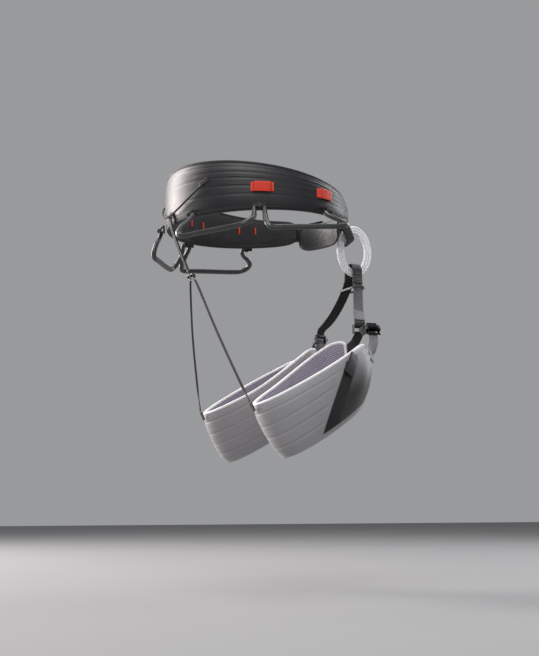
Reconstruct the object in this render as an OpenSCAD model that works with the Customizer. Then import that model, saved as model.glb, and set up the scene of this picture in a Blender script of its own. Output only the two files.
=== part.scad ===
// Climbing harness, shown as worn: the wearer faces -Y, their left side is +X, up is +Z.
// The origin is the middle of the waist opening, level with the belt's lower edge at the back.
// All sizes in millimetres.

/* [Waist belt] */
// Outer radius of the belt at the back and the sides
belt_r = 141; // [125:1:160]
// How far the closed front of the belt stands out past that radius
belt_nose = 12; // [0:1:20]
// Mean height of the upper edge
belt_top = 65; // [58:0.5:72]
// How far the upper edge rises at the back and drops at the front
belt_rise = 18.5; // [8:0.5:20]
// How far the lower edge climbs at the front
belt_lift = 12; // [4:0.5:16]
// Total thickness of shell, foam and liner
belt_thick = 12; // [10:0.5:16]

/* [Waist webbing and buckle] */
// Width of the waist webbing
web_w = 25; // [20:1:28]
// Thickness of the waist webbing
web_t = 1.8; // [1.4:0.1:2.2]
// Direction of the waist buckle, degrees from the front towards the left
buckle_phi = 23; // [20:1:26]

/* [Gear loops] */
// Diameter of the moulded gear loops
loop_d = 7; // [5.5:0.5:8]
// Diameter of the pivot stub at each end of a gear loop
stub_d = 4.6; // [3.6:0.2:4.8]

/* [Belay loop] */
// Outer height of the belay loop
belay_h = 85; // [76:1:88]
// Outer front-to-back length of the belay loop
belay_l = 65; // [58:1:68]
// Height of the webbing band, seen from the side
belay_band = 13; // [10:0.5:13.5]
// Thickness of the webbing band, side to side
belay_t = 6; // [4:0.5:7]

/* [Leg loops] */
// Height of the leg pad at the back
pad_h = 90; // [80:1:96]
// Thickness of the leg pad
pad_t = 11; // [9:0.5:12]
// Half width of a leg loop at its upper rim
leg_half_w = 58; // [52:1:60]
// Width of the leg and bridge straps
strap_w = 17; // [14:1:19]
// Thickness of the leg and bridge straps
strap_t = 1.6; // [1.2:0.1:2]

/* [Hidden] */

$fn = 24;

// ---- colours ----
charcoal = [0.09, 0.09, 0.10];
black = [0.04, 0.04, 0.045];
grey_web = [0.22, 0.22, 0.23];
leg_grey = [0.62, 0.60, 0.62];
liner_grey = [0.55, 0.53, 0.60];
foam_col = [0.30, 0.30, 0.32];
bright = [0.90, 0.90, 0.90];
red = [0.85, 0.13, 0.05];
metal = [0.35, 0.36, 0.38];

// ---- small helpers ----
function mix(a, b, t) = a + (b - a) * t;
function clamp01(t) = min(1, max(0, t));
function smooth(t) = let (u = clamp01(t)) u * u * (3 - 2 * u);
function unit(v) = v / norm(v);
function last(v) = len(v) - 1;
// a point given by direction from the front, radius and height
function polar(phi, r, z) = [r * sin(phi), -r * cos(phi), z];
// how far an edge is pulled in at a rounded end, d being the distance from that end
function corner(d, r) = d >= r ? 0 : r - sqrt(max(0, r * r - (r - d) * (r - d)));
// points along a smooth curve through p, n steps between two points
function spline_at(a, b, c, d, t) = 0.5 * (2 * b + (c - a) * t
    + (2 * a - 5 * b + 4 * c - d) * t * t + (3 * b - a - 3 * c + d) * t * t * t);
function spline(p, n) = [for (i = [0 : last(p) - 1], k = [0 : n - 1])
    spline_at(p[max(0, i - 1)], p[i], p[i + 1], p[min(last(p), i + 2)], k / n), p[last(p)]];
function tangent(p, i) = unit(p[min(last(p), i + 1)] - p[max(0, i - 1)]);

// A closed solid through rings of equal length; with wrap its last ring joins the first.
// Each four-sided face is split along its shorter diagonal, so that layers share their faces.
module loft(rings, wrap = false) {
    n = len(rings);
    m = len(rings[0]);
    turns = wrap ? n : n - 1;
    pts = [for (r = rings) each r];
    sides = [for (i = [0 : turns - 1], j = [0 : m - 1])
        let (a = i * m + j, b = i * m + (j + 1) % m,
            c = ((i + 1) % n) * m + (j + 1) % m, d = ((i + 1) % n) * m + j)
        each norm(pts[a] - pts[c]) <= norm(pts[b] - pts[d])
            ? [[a, b, c], [a, c, d]] : [[a, b, d], [b, c, d]]];
    start = [for (j = [1 : m - 2]) [0, j + 1, j]];
    finish = [for (j = [1 : m - 2]) [(n - 1) * m, (n - 1) * m + j, (n - 1) * m + j + 1]];
    polyhedron(pts, wrap ? sides : concat(sides, start, finish), 4);
}

// A flat strap along points p; side is its width direction at each point.
module strap(p, side, w, t) {
    loft([for (i = [0 : last(p)])
        let (v = tangent(p, i), s0 = side[i], s = unit(s0 - v * (s0 * v)), n = cross(v, s))
        [p[i] - s * w / 2 - n * t / 2, p[i] - s * w / 2 + n * t / 2,
         p[i] + s * w / 2 + n * t / 2, p[i] + s * w / 2 - n * t / 2]]);
}

// A round cord or tube along points p, with up never parallel to it.
module tube(p, up, d, sides = 10) {
    loft([for (i = [0 : last(p)])
        let (v = tangent(p, i), s = unit(cross(v, up)), n = cross(v, s))
        [for (k = [0 : sides - 1])
            p[i] + (s * cos(k * 360 / sides) - n * sin(k * 360 / sides)) * d / 2]]);
}

// ---- waist belt ----
pad_left = 34;          // where the main pad ends on the left, degrees from the front
pad_right = 350;        // where it ends on the right
pad_steps = 72;
edge = 3;               // binding height above the layers
skirt = 7;              // how far the binding reaches down each face
shell_t = 2;
liner_t = 2;
bind_t = 1;
lay = 0.2;              // stand-off of a sewn layer
end_round = 16;         // corner radius of the pad's ends

function to_front(phi) = abs(phi > 180 ? phi - 360 : phi);
function belt_out(phi) = belt_r + belt_nose * exp(-pow(to_front(phi) / 24, 2));
function narrow(phi) = smooth((50 - to_front(phi)) / 40);
function top_z(phi) = belt_top - belt_rise * cos(phi) - 4 * narrow(phi);
function low_z(phi) = belt_lift * (1 + cos(phi)) / 2 + 9 * narrow(phi);
function from_end(phi) = min(phi - pad_left, pad_right - phi) * belt_r * PI / 180;
function pad_top(phi) = top_z(phi) - corner(from_end(phi), end_round) * 0.45;
function pad_low(phi) = low_z(phi) + corner(from_end(phi), end_round) * 0.45;
// samples, closer together at the rounded ends
pad_phi = concat([0, 0.4, 1.2, 2.4, 4], [for (i = [1 : pad_steps - 1])
    6 + i * (pad_right - pad_left - 12) / pad_steps]);
pad_angles = concat([for (d = pad_phi) pad_left + d],
    [for (d = [4, 2.4, 1.2, 0.4, 0]) pad_right - d]);

// one layer of the pad, from depth d0 to depth d1 below its outer face
module belt_layer(d0, d1, col) {
    color(col) loft([for (a = pad_angles)
        let (r0 = belt_out(a) - d0, r1 = belt_out(a) - d1, z0 = pad_low(a) + edge, z1 = pad_top(a) - edge)
        [polar(a, r0, z0), polar(a, r0, z1), polar(a, r1, z1), polar(a, r1, z0)]]);
}
module belt_binding(at_top, col) {
    function ring(a, e, s) = [for (q = [[-bind_t, 0], [-bind_t, skirt], [0, skirt], [0, edge],
        [belt_thick, edge], [belt_thick, skirt], [belt_thick + bind_t, skirt],
        [belt_thick + bind_t, 0]]) polar(a, belt_out(a) - q[0], e + s * q[1])];
    function flip(r) = [for (i = [last(r) : -1 : 0]) r[i]];
    color(col) loft([for (a = pad_angles)
        at_top ? flip(ring(a, pad_top(a), -1)) : ring(a, pad_low(a), 1)]);
}
module waist_shell() { belt_layer(0, shell_t, charcoal); }
module waist_foam() { belt_layer(shell_t, belt_thick - liner_t, foam_col); }
module waist_liner() { belt_layer(belt_thick - liner_t, belt_thick, black); }
module waist_binding_top() { belt_binding(true, black); }
module waist_binding_bottom() { belt_binding(false, black); }

// ---- waist webbing, its buckle and the pad behind them ----
web_z = 30;             // height of the webbing's middle line
web_end = -9;           // where the webbing leaves the right end of the pad
web_left = 58;          // where it is sewn down on the left
function web_r(phi) = mix(belt_out(abs(phi)) - belt_thick / 2,
    belt_out(abs(phi)) + bind_t + web_t / 2 + 0.4, smooth((phi - web_end) / 44));
function web_ring(phi, r, w, t) = [
    polar(phi, r + t / 2, web_z - w / 2), polar(phi, r + t / 2, web_z + w / 2),
    polar(phi, r - t / 2, web_z + w / 2), polar(phi, r - t / 2, web_z - w / 2)];
module waist_webbing() {
    color(grey_web) loft([for (i = [0 : 20]) let (a = mix(web_end, web_left, i / 20))
        web_ring(a, web_r(a), web_w, web_t)]);
}

front_a = -8;           // the pad behind the buckle, from here
front_b = 32;           // to here
front_t = 8;
front_low = -3;         // height of its lower edge
front_round = 26;       // corner radius of its ends
module front_pad() {
    steps = 22;
    reach = (front_b - front_a) * belt_r * PI / 180;
    color(black) loft([for (i = [0 : steps])
        let (a = mix(front_a, front_b, i / steps), d = reach * min(i, steps - i) / steps,
            in = corner(d, front_round) * 0.3, r = web_r(a) - web_t / 2 - 1.2,
            z0 = front_low + 1.5 * in, z1 = top_z(a) - 4 - in)
        [polar(a, r, z0), polar(a, r, z1), polar(a, r - front_t, z1), polar(a, r - front_t, z0)]]);
}

// A two-piece buckle. X runs along the strap, Y across it, Z outwards; the strap's face is z = 0.
// The frame is a stamped plate with two raised cheeks that carry the pin.
rail = 3.5;             // width of the frame's rails
plate_t = 2;
cheek_h = 7.6;
pin_d = 3;
pin_gap = 0.25;         // clearance round the pin
module buckle_frame(l, w) {
    difference() {
        translate([-l / 2, -w / 2, 0]) cube([l, w, plate_t]);
        translate([-l / 2 + rail, -w / 2 + rail, -1]) cube([l / 2 - rail - 2, w - 2 * rail, plate_t + 2]);
        translate([2, -w / 2 + rail, -1]) cube([l / 2 - rail - 2, w - 2 * rail, plate_t + 2]);
    }
    for (s = [-1, 1]) translate([-l / 4, s * (w / 2 - rail / 2) - rail / 2, plate_t])
        cube([l / 2, rail, cheek_h - plate_t]);
    translate([0, 0, cheek_h - pin_d / 2 - 0.5]) rotate([90, 0, 0])
        cylinder(d = pin_d, h = w - 2 * rail, center = true);
}
module buckle_slider(l, w) {
    inner = w - 2 * rail - 0.8;
    translate([0, 0, cheek_h - pin_d / 2 - 0.5]) difference() {
        union() {
            rotate([90, 0, 0]) cylinder(d = pin_d + 3, h = inner, center = true);
            translate([-l * 0.42, -inner / 2, 0.4]) cube([l * 0.42, inner, 2.2]);
        }
        rotate([90, 0, 0]) cylinder(d = pin_d + 2 * pin_gap, h = inner + 2, center = true);
    }
}

wb_l = 38;              // waist buckle length and width
wb_w = 40;
module on_waist_buckle() {
    translate(polar(buckle_phi, web_r(buckle_phi) + web_t / 2 + 0.9, web_z - 3))
        rotate([0, 0, buckle_phi]) rotate([90, 0, 0]) children();
}
module waist_buckle_frame() { color(metal) on_waist_buckle() buckle_frame(wb_l, wb_w); }
module waist_buckle_slider() { color(metal) on_waist_buckle() buckle_slider(wb_l, wb_w); }

// the free tail leaves the buckle and is tucked back along the left side
module waist_strap_tail() {
    color(grey_web) loft([for (a = [32.5 : 3 : 56.5])
        web_ring(a, web_r(a) + web_t + 0.25 + 1.6 * smooth((44 - a) / 10), web_w, web_t)]);
}

// ---- ice clipper slots and gear loop tabs ----
slot_l = 34;
slot_h = 15;
slot_z = 35.5;
front_phi = 70;
rear_phi = 112.5;
// a raised webbing middle between two narrower stitched ends
slot_end = 6;
slot_lift = 2.4;
module slot_patch(phi) {
    half = slot_l / 2;
    flat = half - slot_end;
    turn = 180 / PI / belt_r;
    color(red) loft([for (s = [-half, -flat - 1, -flat, -flat / 2, 0, flat / 2, flat, flat + 1, half])
        let (a = phi + s * turn, h = abs(s) <= flat ? slot_h : slot_h - 3,
            q = belt_out(a) + lay + (abs(s) <= flat ? slot_lift : 0))
        [polar(a, q + 1.4, slot_z - h / 2), polar(a, q + 1.4, slot_z + h / 2),
         polar(a, q, slot_z + h / 2), polar(a, q, slot_z - h / 2)]]);
}

// Gear loops: [direction, height] of the pivot at the front and rear end of each loop
pivot_off = 7.5;         // how far the pivots stand out from the belt
front_pivots = [[70.5, 8], [113, 3.5]];
rear_pivots = [[115.4, 3.5], [156, 1]];
stub = 2.2;             // length of the stub inside its knuckle
stub_out = 0.4;         // how far the stub comes out before the loop thickens
knuckle_l = 2.7;
function pivot(q) = polar(q[0], belt_out(q[0]) + pivot_off, q[1]);
module knuckle(at, axis) {
    translate(at) rotate([0, 0, atan2(axis[1], axis[0])])
        rotate([0, 90 - asin(axis[2] / norm(axis)), 0]) difference() {
            cylinder(d = stub_d + 3.2, h = knuckle_l);
            translate([0, 0, -1]) cylinder(d = stub_d + 0.6, h = knuckle_l + 2);
        }
}
// direction, width, lower and upper edge of the patches that hold the tabs on the belt
tab_patches = [[front_phi - 1.2, 12, 3, 22], [rear_phi + 1.7, 20, -2, 18], [157.4, 12, -5, 15]];
module tab_patch(phi, w, z0, z1) {
    turn = 180 / PI / belt_r;
    color(black) loft([for (s = [-w / 2, 0, w / 2])
        let (a = phi + s * turn, q = belt_out(a) + bind_t + lay)
        [polar(a, q + 1.2, z0), polar(a, q + 1.2, z1), polar(a, q, z1), polar(a, q, z0)]]);
}
module gear_tabs_right() { mirror([1, 0, 0]) gear_tabs_left(); }
module gear_tabs_left() {
    f = [pivot(front_pivots[0]), pivot(front_pivots[1])];
    r = [pivot(rear_pivots[0]), pivot(rear_pivots[1])];
    color(black) {
        knuckle(f[0], f[0] - f[1]);
        knuckle(f[1], f[1] - f[0]);
        knuckle(r[0], r[0] - r[1]);
        knuckle(r[1], r[1] - r[0]);
    }
    for (q = tab_patches) tab_patch(q[0], q[1], q[2], q[3]);
}

// A gear loop hangs from two pivots. Each row of shape is the share of the way along,
// the distance out and the distance down; lift turns the whole loop up about its pivots.
module gear_loop(ends, shape, lift) {
    a = pivot(ends[0]);
    b = pivot(ends[1]);
    u = unit(b - a);
    out = unit(cross(u, [0, 0, 1]));
    path = concat([a - u * stub, a + u * stub_out],
        spline([for (q = shape) let (o = q[1] * cos(lift) + q[2] * sin(lift),
            d = q[2] * cos(lift) - q[1] * sin(lift)) a + (b - a) * q[0] + out * o - [0, 0, d]], 3),
        [b - u * stub_out, b + u * stub]);
    n = last(path);
    color(black) loft([for (i = [0 : n])
        let (ending = i < 2 || i > n - 2, v = ending ? u : tangent(path, i),
            s = unit(cross(v, cross(out + [0, 0, 1], u))), w = cross(v, s), d = ending ? stub_d : loop_d)
        [for (k = [0 : 7]) path[i] + (s * cos(k * 45) - w * sin(k * 45)) * d / 2]]);
}
front_shape = [[0.042, 1, 1], [0.038, 4.5, 4.5], [-0.01, 9, 9], [-0.10, 13.5, 13.5], [-0.168, 20, 19],
    [-0.158, 28, 24], [-0.084, 33.5, 28], [0.03, 35, 30], [0.25, 34, 31.5], [0.5, 32, 33],
    [0.75, 30, 34.5], [0.91, 28.5, 36], [0.99, 27, 34.5], [1.015, 22, 28], [1.00, 13, 18],
    [0.972, 4.5, 8], [0.958, 1, 1]];
rear_shape = [[0.042, 1, 1], [0.025, 4.5, 9], [0.00, 10, 20], [0.01, 18, 30], [0.07, 23.5, 37],
    [0.18, 24.5, 40.5], [0.5, 20.5, 41.5], [0.8, 16, 41.5], [0.97, 13.5, 42], [1.08, 12.5, 40.5],
    [1.12, 10.5, 34], [1.08, 7.5, 22], [1.00, 4.5, 11.5], [0.97, 2.5, 5], [0.958, 1, 1]];
// the flexible loops lie unevenly: the right rear one rides up, the left ones hang
rear_lift_right = 14;
rear_lift_left = -8;
front_lift_left = -5;
module front_gear_loop_left() { gear_loop(front_pivots, front_shape, front_lift_left); }
module rear_gear_loop_left() { gear_loop(rear_pivots, rear_shape, rear_lift_left); }
module front_gear_loop_right() { mirror([1, 0, 0]) gear_loop(front_pivots, front_shape, 0); }
module rear_gear_loop_right() { mirror([1, 0, 0]) gear_loop(rear_pivots, rear_shape, rear_lift_right); }

// ---- haul loop and risers at the back ----
haul_d = 3.2;
module haul_loop() {
    half = [[150.5, 1.6, 42], [153, 2.6, 38], [158, 3.2, 30], [165, 3.8, 20], [172, 4.8, 12.5],
        [178, 5.6, 9.5]];
    pts = concat([for (q = half) polar(q[0], belt_out(q[0]) + q[1] + haul_d / 2, q[2])],
        [for (i = [last(half) : -1 : 0]) let (q = half[i])
            polar(360 - q[0], belt_out(q[0]) + q[1] + haul_d / 2, q[2])]);
    color(black) tube(spline(pts, 3), [0.1, 1, 0.12], haul_d, 8);
}
module haul_loop_tabs() {
    for (phi = [149.5, 210.5]) color(black) translate(polar(phi, belt_out(phi) + 0.5, 48))
        rotate([0, 0, phi]) translate([-4, -1.4, -3.5]) cube([8, 1.4, 7]);
}

riser_top = [0, 143.8, 1];
hook_at = [0, 111, -74.5];
function riser_side(n) = [for (i = [0 : n]) [1, 0, 0]];
module riser_strap() {
    p = spline([[0, 143.8, 16], riser_top, [0, 140, -12], [0, 131, -34], [0, 120, -58],
        [0, 113.4, -73]], 3);
    color(black) strap(p, riser_side(last(p)), 9, 2);
}
module riser_hook() {
    color(black) translate(hook_at) rotate([-26, 0, 0]) {
        difference() {
            translate([-11, -2.5, -9]) cube([22, 5, 8.5]);
            for (s = [-1, 1]) translate([s * 6 - 2.7, -4, -6.5]) cube([5.4, 8, 2.6]);
        }
    }
}
riser_w = 5;
riser_t = 1.4;
module riser_elastic_left() {
    p = spline([[6.5, 106.8, -84.6], [14, 104, -95], [42, 88, -160], [70, 68, -228],
        leg_pt(0, on_pad, -6.6)], 3);
    // flat towards the side for most of its length, then turned to lie on the leg loop's back
    color(black) strap(p, [for (i = [0 : last(p)])
        mix([0.35, -0.9, 0.1], [0.95, 0.2, 0.1], smooth((i / last(p) - 0.75) / 0.25))], riser_w, riser_t);
}
module riser_elastic_right() { mirror([1, 0, 0]) riser_elastic_left(); }

// ---- belay loop and the loops that hold it ----
belay_at = [0, -180, -10.5];
module belay_loop() {
    n = 40;
    ry = (belay_l - belay_band) / 2;
    rz = (belay_h - belay_band) / 2;
    b = belay_band / 2;
    t = belay_t / 2;
    color(bright) translate(belay_at) loft([for (i = [0 : n - 1])
        let (a = i * 360 / n, c = [0, ry * cos(a), rz * sin(a)], o = unit([0, rz * cos(a), ry * sin(a)]))
        [for (q = [[b, -t * 0.6], [b, t * 0.6], [b * 0.7, t], [-b * 0.7, t], [-b, t * 0.6],
            [-b, -t * 0.6], [-b * 0.7, -t], [b * 0.7, -t]]) c + o * q[0] + [q[1], 0, 0]]], true);
}

tie_t = 2;
tie_w = 16;
tie_half = 12;          // half distance between the two legs of the tie-in fold
tie_dir = unit([0, -0.62, -0.78]);
tie_side = unit(cross([1, 0, 0], tie_dir));
// folded webbing from the belt's front, round the upper rear part of the belay loop
module upper_tie_in_loop() {
    tip = [0, -170.2, 1.5];
    reach = 7;
    function face_y(s) = let (a = s * 4.7, r = web_r(a) + web_t / 2 + 0.5)
        -sqrt(r * r - tie_half * tie_half);
    function leg_of(s) = [for (q = [[face_y(s), 27], [-153.5, 27], [-158, 23.5], [-162.5, 14.5]])
        [s * tie_half, q[0], q[1]]];
    turn = [for (a = [-90 : 22.5 : 90]) tip + [-tie_half * sin(a), 0, 0] + tie_dir * reach * (cos(a) - 1)];
    r = leg_of(-1);
    p = concat(leg_of(1), turn, [r[3], r[2], r[1], r[0]]);
    n = last(p);
    color(grey_web) strap(p, [for (i = [0 : n]) let (k = min(i, n - i))
        k < 2 ? [0, 0.1 * k, -1] : k == 2 ? [0, 0.6, -0.8] : tie_side], tie_w, tie_t);
}

// the bridge webbing: right leg, over the bottom of the belay loop, left leg
joint_at = [62, -151, -145];    // pin of the left leg's hinge, mirrored on the right
ring_turn = -72.5;              // direction of that pin, degrees from +X
pin_dir = [cos(ring_turn), sin(ring_turn), 0];
bridge_half = [[0, -178, -32.6], [7, -178, -33.6], [11, -178, -38.5], [12, -178, -48], [13, -177.5, -60],
    [20, -174.5, -76], [29, -169, -95], [39, -163, -112], [50, -157, -125.5],
    [59, -152.3, -133.5], joint_at + [0, 0, 6.5]];
sleeve_d = 7.4;
module bridge_webbing() {
    half = concat(spline(bridge_half, 3), [joint_at + [0, 0, sleeve_d / 2 - 0.4]]);
    p = concat([for (i = [last(half) : -1 : 1]) [-half[i][0], half[i][1], half[i][2]]], half);
    n = last(p);
    // the width runs front to back at the fold and turns near the rings to lie along the pins
    side = [for (i = [0 : n]) let (k = (i - n / 2) / (n / 2), s = smooth((abs(k) - 0.7) / 0.28))
        [k > 0 ? s * pin_dir[0] : -s * pin_dir[0], mix(-1, pin_dir[1], s), 0]];
    color(grey_web) strap(p, side, strap_w, strap_t);
    for (s = [0, 1]) color(grey_web) mirror([s, 0, 0]) translate(joint_at)
        rotate([0, 90, ring_turn]) difference() {
            cylinder(d = sleeve_d, h = strap_w, center = true);
            cylinder(d = pin_d + 0.8, h = strap_w + 2, center = true);
        }
}

function bridge_x(z) = z > -60 ? 12.9 : 13 + (-60 - z) * 0.44;
// bar tacks: thick stitched bars across both falling straps, just under the belay loop
module bridge_tacks() {
    for (s = [-1, 1], z = [-56, -61.5]) color(bright)
        translate([s * (bridge_x(z) + strap_t / 2 + lay + 0.5), -177.4, z])
            cube([0.7, strap_w - 5, 1.6], center = true);
}

// a thin elastic band round both falling straps
keeper_z = -76;
keeper_h = 4;
module bridge_keeper() {
    half_l = 23.8;
    front = -187.6;
    back = -163.4;
    color(black) translate([0, 0, keeper_z]) linear_extrude(keeper_h) difference() {
        translate([-half_l, front]) square([2 * half_l, back - front]);
        translate([-half_l + 1.2, front + 1.2]) square([2 * half_l - 2.4, back - front - 2.4]);
    }
}

// ---- leg loops, written for the left leg and mirrored for the right ----
leg_mid = [80, -50, -223];
leg_back = [9.5, 97.5, -55.5];      // from the middle of the upper rim to its back
drop_back = [8, -45, -77];          // from the upper to the lower edge, at the back
drop_front = [8, 8, -98];           // the same at the front
leg_from = -152;                    // the pad runs from its inner end
leg_to = 158;                       // to its outer end
leg_per_deg = 1.25;                 // rough length of one degree near the ends
leg_round = 30;                     // corner radius of the ends
leg_steps = 40;
back_len = norm(leg_back);
function rim(t, d) = leg_mid + leg_back * (1 - d / back_len) * cos(t)
    + [(leg_half_w - d) * sin(t), 0, 15 * smooth((-t - 60) / 75)];
function fall(t) = (mix(drop_back, drop_front, (1 - cos(t)) / 2) + [-6 * sin(t), 0, 0]) * pad_h / 90;
// the pad is crowned from edge to edge, most of all at its outer front
function belly(t) = 3 + 9 * smooth((t - 95) / 45);
function leg_pt(t, d, s) = let (f = fall(t), o = unit(rim(t, 0) - rim(t, 10)))
    rim(t, d) + unit(f) * s + o * belly(t) * sin(180 * clamp01(s / norm(f)));
function leg_end(t) = corner(min(t - leg_from, leg_to - t) * leg_per_deg, leg_round);
function leg_top(t) = leg_end(t) * 0.45;
function leg_low(t) = norm(fall(t)) - leg_end(t) * 0.85;
leg_angles = concat([for (d = [0, 0.4, 1.2, 3]) leg_from + d],
    [for (i = [1 : leg_steps - 1]) leg_from + (leg_to - leg_from) * i / leg_steps],
    [for (d = [3, 1.2, 0.4, 0]) leg_to - d]);

module leg_layer(d0, d1, col) {
    function levels(t) = let (a = leg_top(t), b = leg_low(t))
        [a + edge, a + skirt, mix(a, b, 0.35), mix(a, b, 0.65), b - skirt, b - edge];
    color(col) loft([for (t = leg_angles) let (v = levels(t))
        concat([for (i = [0 : 5]) leg_pt(t, d0, v[i])], [for (i = [5 : -1 : 0]) leg_pt(t, d1, v[i])])]);
}
module leg_shell_left() { leg_layer(0, shell_t, leg_grey); }
module leg_foam_left() { leg_layer(shell_t, pad_t - liner_t, foam_col); }
module leg_liner_left() { leg_layer(pad_t - liner_t, pad_t, liner_grey); }
module leg_binding_left() {
    function ring(t, e, s) = [for (q = [[-bind_t, 0], [-bind_t, skirt], [0, skirt], [0, edge],
        [pad_t, edge], [pad_t, skirt], [pad_t + bind_t, skirt], [pad_t + bind_t, 0]])
        leg_pt(t, q[0], e + s * q[1])];
    function flip(r) = [for (i = [last(r) : -1 : 0]) r[i]];
    color(bright) {
        loft([for (t = leg_angles) ring(t, leg_top(t), 1)]);
        loft([for (t = leg_angles) flip(ring(t, leg_low(t), -1))]);
    }
}

// A thin sewn patch on the outer face, from t0 to t1 along the upper edge. Its two ends lean
// towards the back at the bottom by lean0 and lean1 degrees.
module leg_patch(t0, t1, lean0, lean1, s0, s1, deep, thick, col) {
    n = 6;
    m = 10;
    function at(i, d, j) = let (s = mix(s0, s1, j / m),
        t = mix(t0, t1, i / n) - mix(lean0, lean1, i / n) * j / m)
        leg_pt(t, d, leg_top(t) + s * (leg_low(t) - leg_top(t)));
    color(col) loft([for (i = [0 : n]) concat(
        [for (j = [0 : m]) at(i, -deep - thick, j)], [for (j = [m : -1 : 0]) at(i, -deep, j)])]);
}
module leg_stripe_left() { leg_patch(108, 124, 38, 34, 0.1, 0.9, lay + 1.5, 0.6, black); }
module leg_panel_left() { leg_patch(125, 154, 34, 2, 0.1, 0.9, lay + 0.3, 0.5, leg_grey); }
module leg_keeper_left() { leg_patch(103, 116, 0, 0, 0.11, 0.26, lay + 2.6, 2, black); }

ring_drop = 10;         // from the hinge pin down to the bar that carries the leg straps
ring_rail = 2.5;        // width of the plates at the ring's ends
ring_gap = 1.75;         // from the strap's edge to the middle of a rail
ring_deep = 4;           // depth of a rail, and how far it reaches past the pins' middles in all
module leg_ring_left() {
    color(metal) translate(joint_at) rotate([0, 0, ring_turn]) {
        for (z = [0, -ring_drop]) translate([0, 0, z]) rotate([0, 90, 0])
            cylinder(d = pin_d, h = strap_w + 6, center = true);
        for (s = [-1, 1]) translate([s * (strap_w / 2 + ring_gap), 0, -ring_drop / 2])
            cube([ring_rail, ring_deep, ring_drop + ring_deep], center = true);
    }
}
lb_l = 22;              // leg buckle length and width
lb_w = 24;
lb_at = [81, -160.5, -154];
lb_turn = 45;           // how far its length points below the horizontal
lb_yaw = 10;            // direction its length points, degrees from +X
lb_dir = [cos(lb_turn) * cos(lb_yaw), cos(lb_turn) * sin(lb_yaw), -sin(lb_turn)];
lb_out = [sin(lb_turn) * cos(lb_yaw), sin(lb_turn) * sin(lb_yaw), cos(lb_turn)];
lb_side = [sin(lb_yaw), -cos(lb_yaw), 0];
under = lb_at - lb_out * (strap_t / 2 + 0.9);   // the strap runs straight under the buckle
module on_leg_buckle() {
    translate(lb_at) rotate([0, lb_turn, lb_yaw]) children();
}
on_pad = -(bind_t + lay + strap_t / 2 + 0.6);   // depth of a strap that lies on the pad
outer_path = [joint_at + [1.4, 0, -ring_drop - 0.4], under - lb_dir * 11, under, under + lb_dir * 11,
    [92.5, -157, -172.5], [97.5, -151.5, -182.5], leg_pt(153, on_pad, 26), leg_pt(149, on_pad, 36)];
outer_side = [pin_dir, lb_side, lb_side, lb_side, [0.25, -0.95, 0.1], [-0.1, -0.95, 0.2],
    [-0.6, -0.7, 0.3], [-0.7, -0.6, 0.34]];
inner_path = [joint_at + [-1.4, 0, -ring_drop - 0.4], [56, -149.8, -163], [50, -146.5, -172],
    leg_pt(-147, on_pad, 25), leg_pt(-140, on_pad, 30)];
inner_side = [pin_dir, [0.35, -0.85, -0.3], [0.35, -0.4, -0.85], [0.2, 0.2, -1], [0, 0.2, -1]];
module leg_outer_strap_left() {
    color(grey_web) strap(spline(outer_path, 3), spline(outer_side, 3), strap_w - 3, strap_t);
}
module leg_inner_strap_left() {
    color(grey_web) strap(spline(inner_path, 3), spline(inner_side, 3), strap_w - 3, strap_t);
}
module leg_buckle_frame_left() { color(metal) on_leg_buckle() buckle_frame(lb_l, lb_w); }
module leg_buckle_slider_left() { color(metal) on_leg_buckle() buckle_slider(lb_l, lb_w); }
module leg_riser_tab_left() {
    p = [for (s = [9, 6, 3, -1, -5]) leg_pt(0, on_pad, s)];
    color(black) strap(p, [for (q = p) [1, 0, 0]], 9, 1.4);
}

module leg_shell_right() { mirror([1, 0, 0]) leg_shell_left(); }
module leg_foam_right() { mirror([1, 0, 0]) leg_foam_left(); }
module leg_liner_right() { mirror([1, 0, 0]) leg_liner_left(); }
module leg_binding_right() { mirror([1, 0, 0]) leg_binding_left(); }
module leg_stripe_right() { mirror([1, 0, 0]) leg_stripe_left(); }
module leg_panel_right() { mirror([1, 0, 0]) leg_panel_left(); }
module leg_keeper_right() { mirror([1, 0, 0]) leg_keeper_left(); }
module leg_ring_right() { mirror([1, 0, 0]) leg_ring_left(); }
module leg_outer_strap_right() { mirror([1, 0, 0]) leg_outer_strap_left(); }
module leg_inner_strap_right() { mirror([1, 0, 0]) leg_inner_strap_left(); }
module leg_buckle_frame_right() { mirror([1, 0, 0]) leg_buckle_frame_left(); }
module leg_buckle_slider_right() { mirror([1, 0, 0]) leg_buckle_slider_left(); }
module leg_riser_tab_right() { mirror([1, 0, 0]) leg_riser_tab_left(); }

module front_slot_left() { slot_patch(front_phi); }
module rear_slot_left() { slot_patch(rear_phi); }
module front_slot_right() { mirror([1, 0, 0]) front_slot_left(); }
module rear_slot_right() { mirror([1, 0, 0]) rear_slot_left(); }

waist_shell();
waist_foam();
waist_liner();
waist_binding_top();
waist_binding_bottom();
front_pad();
waist_webbing();
waist_strap_tail();
waist_buckle_frame();
waist_buckle_slider();
upper_tie_in_loop();
front_slot_right();
front_slot_left();
rear_slot_right();
rear_slot_left();
gear_tabs_right();
gear_tabs_left();
front_gear_loop_right();
front_gear_loop_left();
rear_gear_loop_right();
rear_gear_loop_left();
haul_loop();
haul_loop_tabs();
riser_strap();
riser_hook();
riser_elastic_right();
riser_elastic_left();
belay_loop();
bridge_webbing();
bridge_tacks();
bridge_keeper();
leg_shell_right();
leg_shell_left();
leg_foam_right();
leg_foam_left();
leg_liner_right();
leg_liner_left();
leg_binding_right();
leg_binding_left();
leg_stripe_right();
leg_stripe_left();
leg_panel_right();
leg_panel_left();
leg_keeper_right();
leg_keeper_left();
leg_ring_right();
leg_ring_left();
leg_outer_strap_right();
leg_outer_strap_left();
leg_inner_strap_right();
leg_inner_strap_left();
leg_buckle_frame_right();
leg_buckle_frame_left();
leg_buckle_slider_right();
leg_buckle_slider_left();
leg_riser_tab_right();
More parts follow.
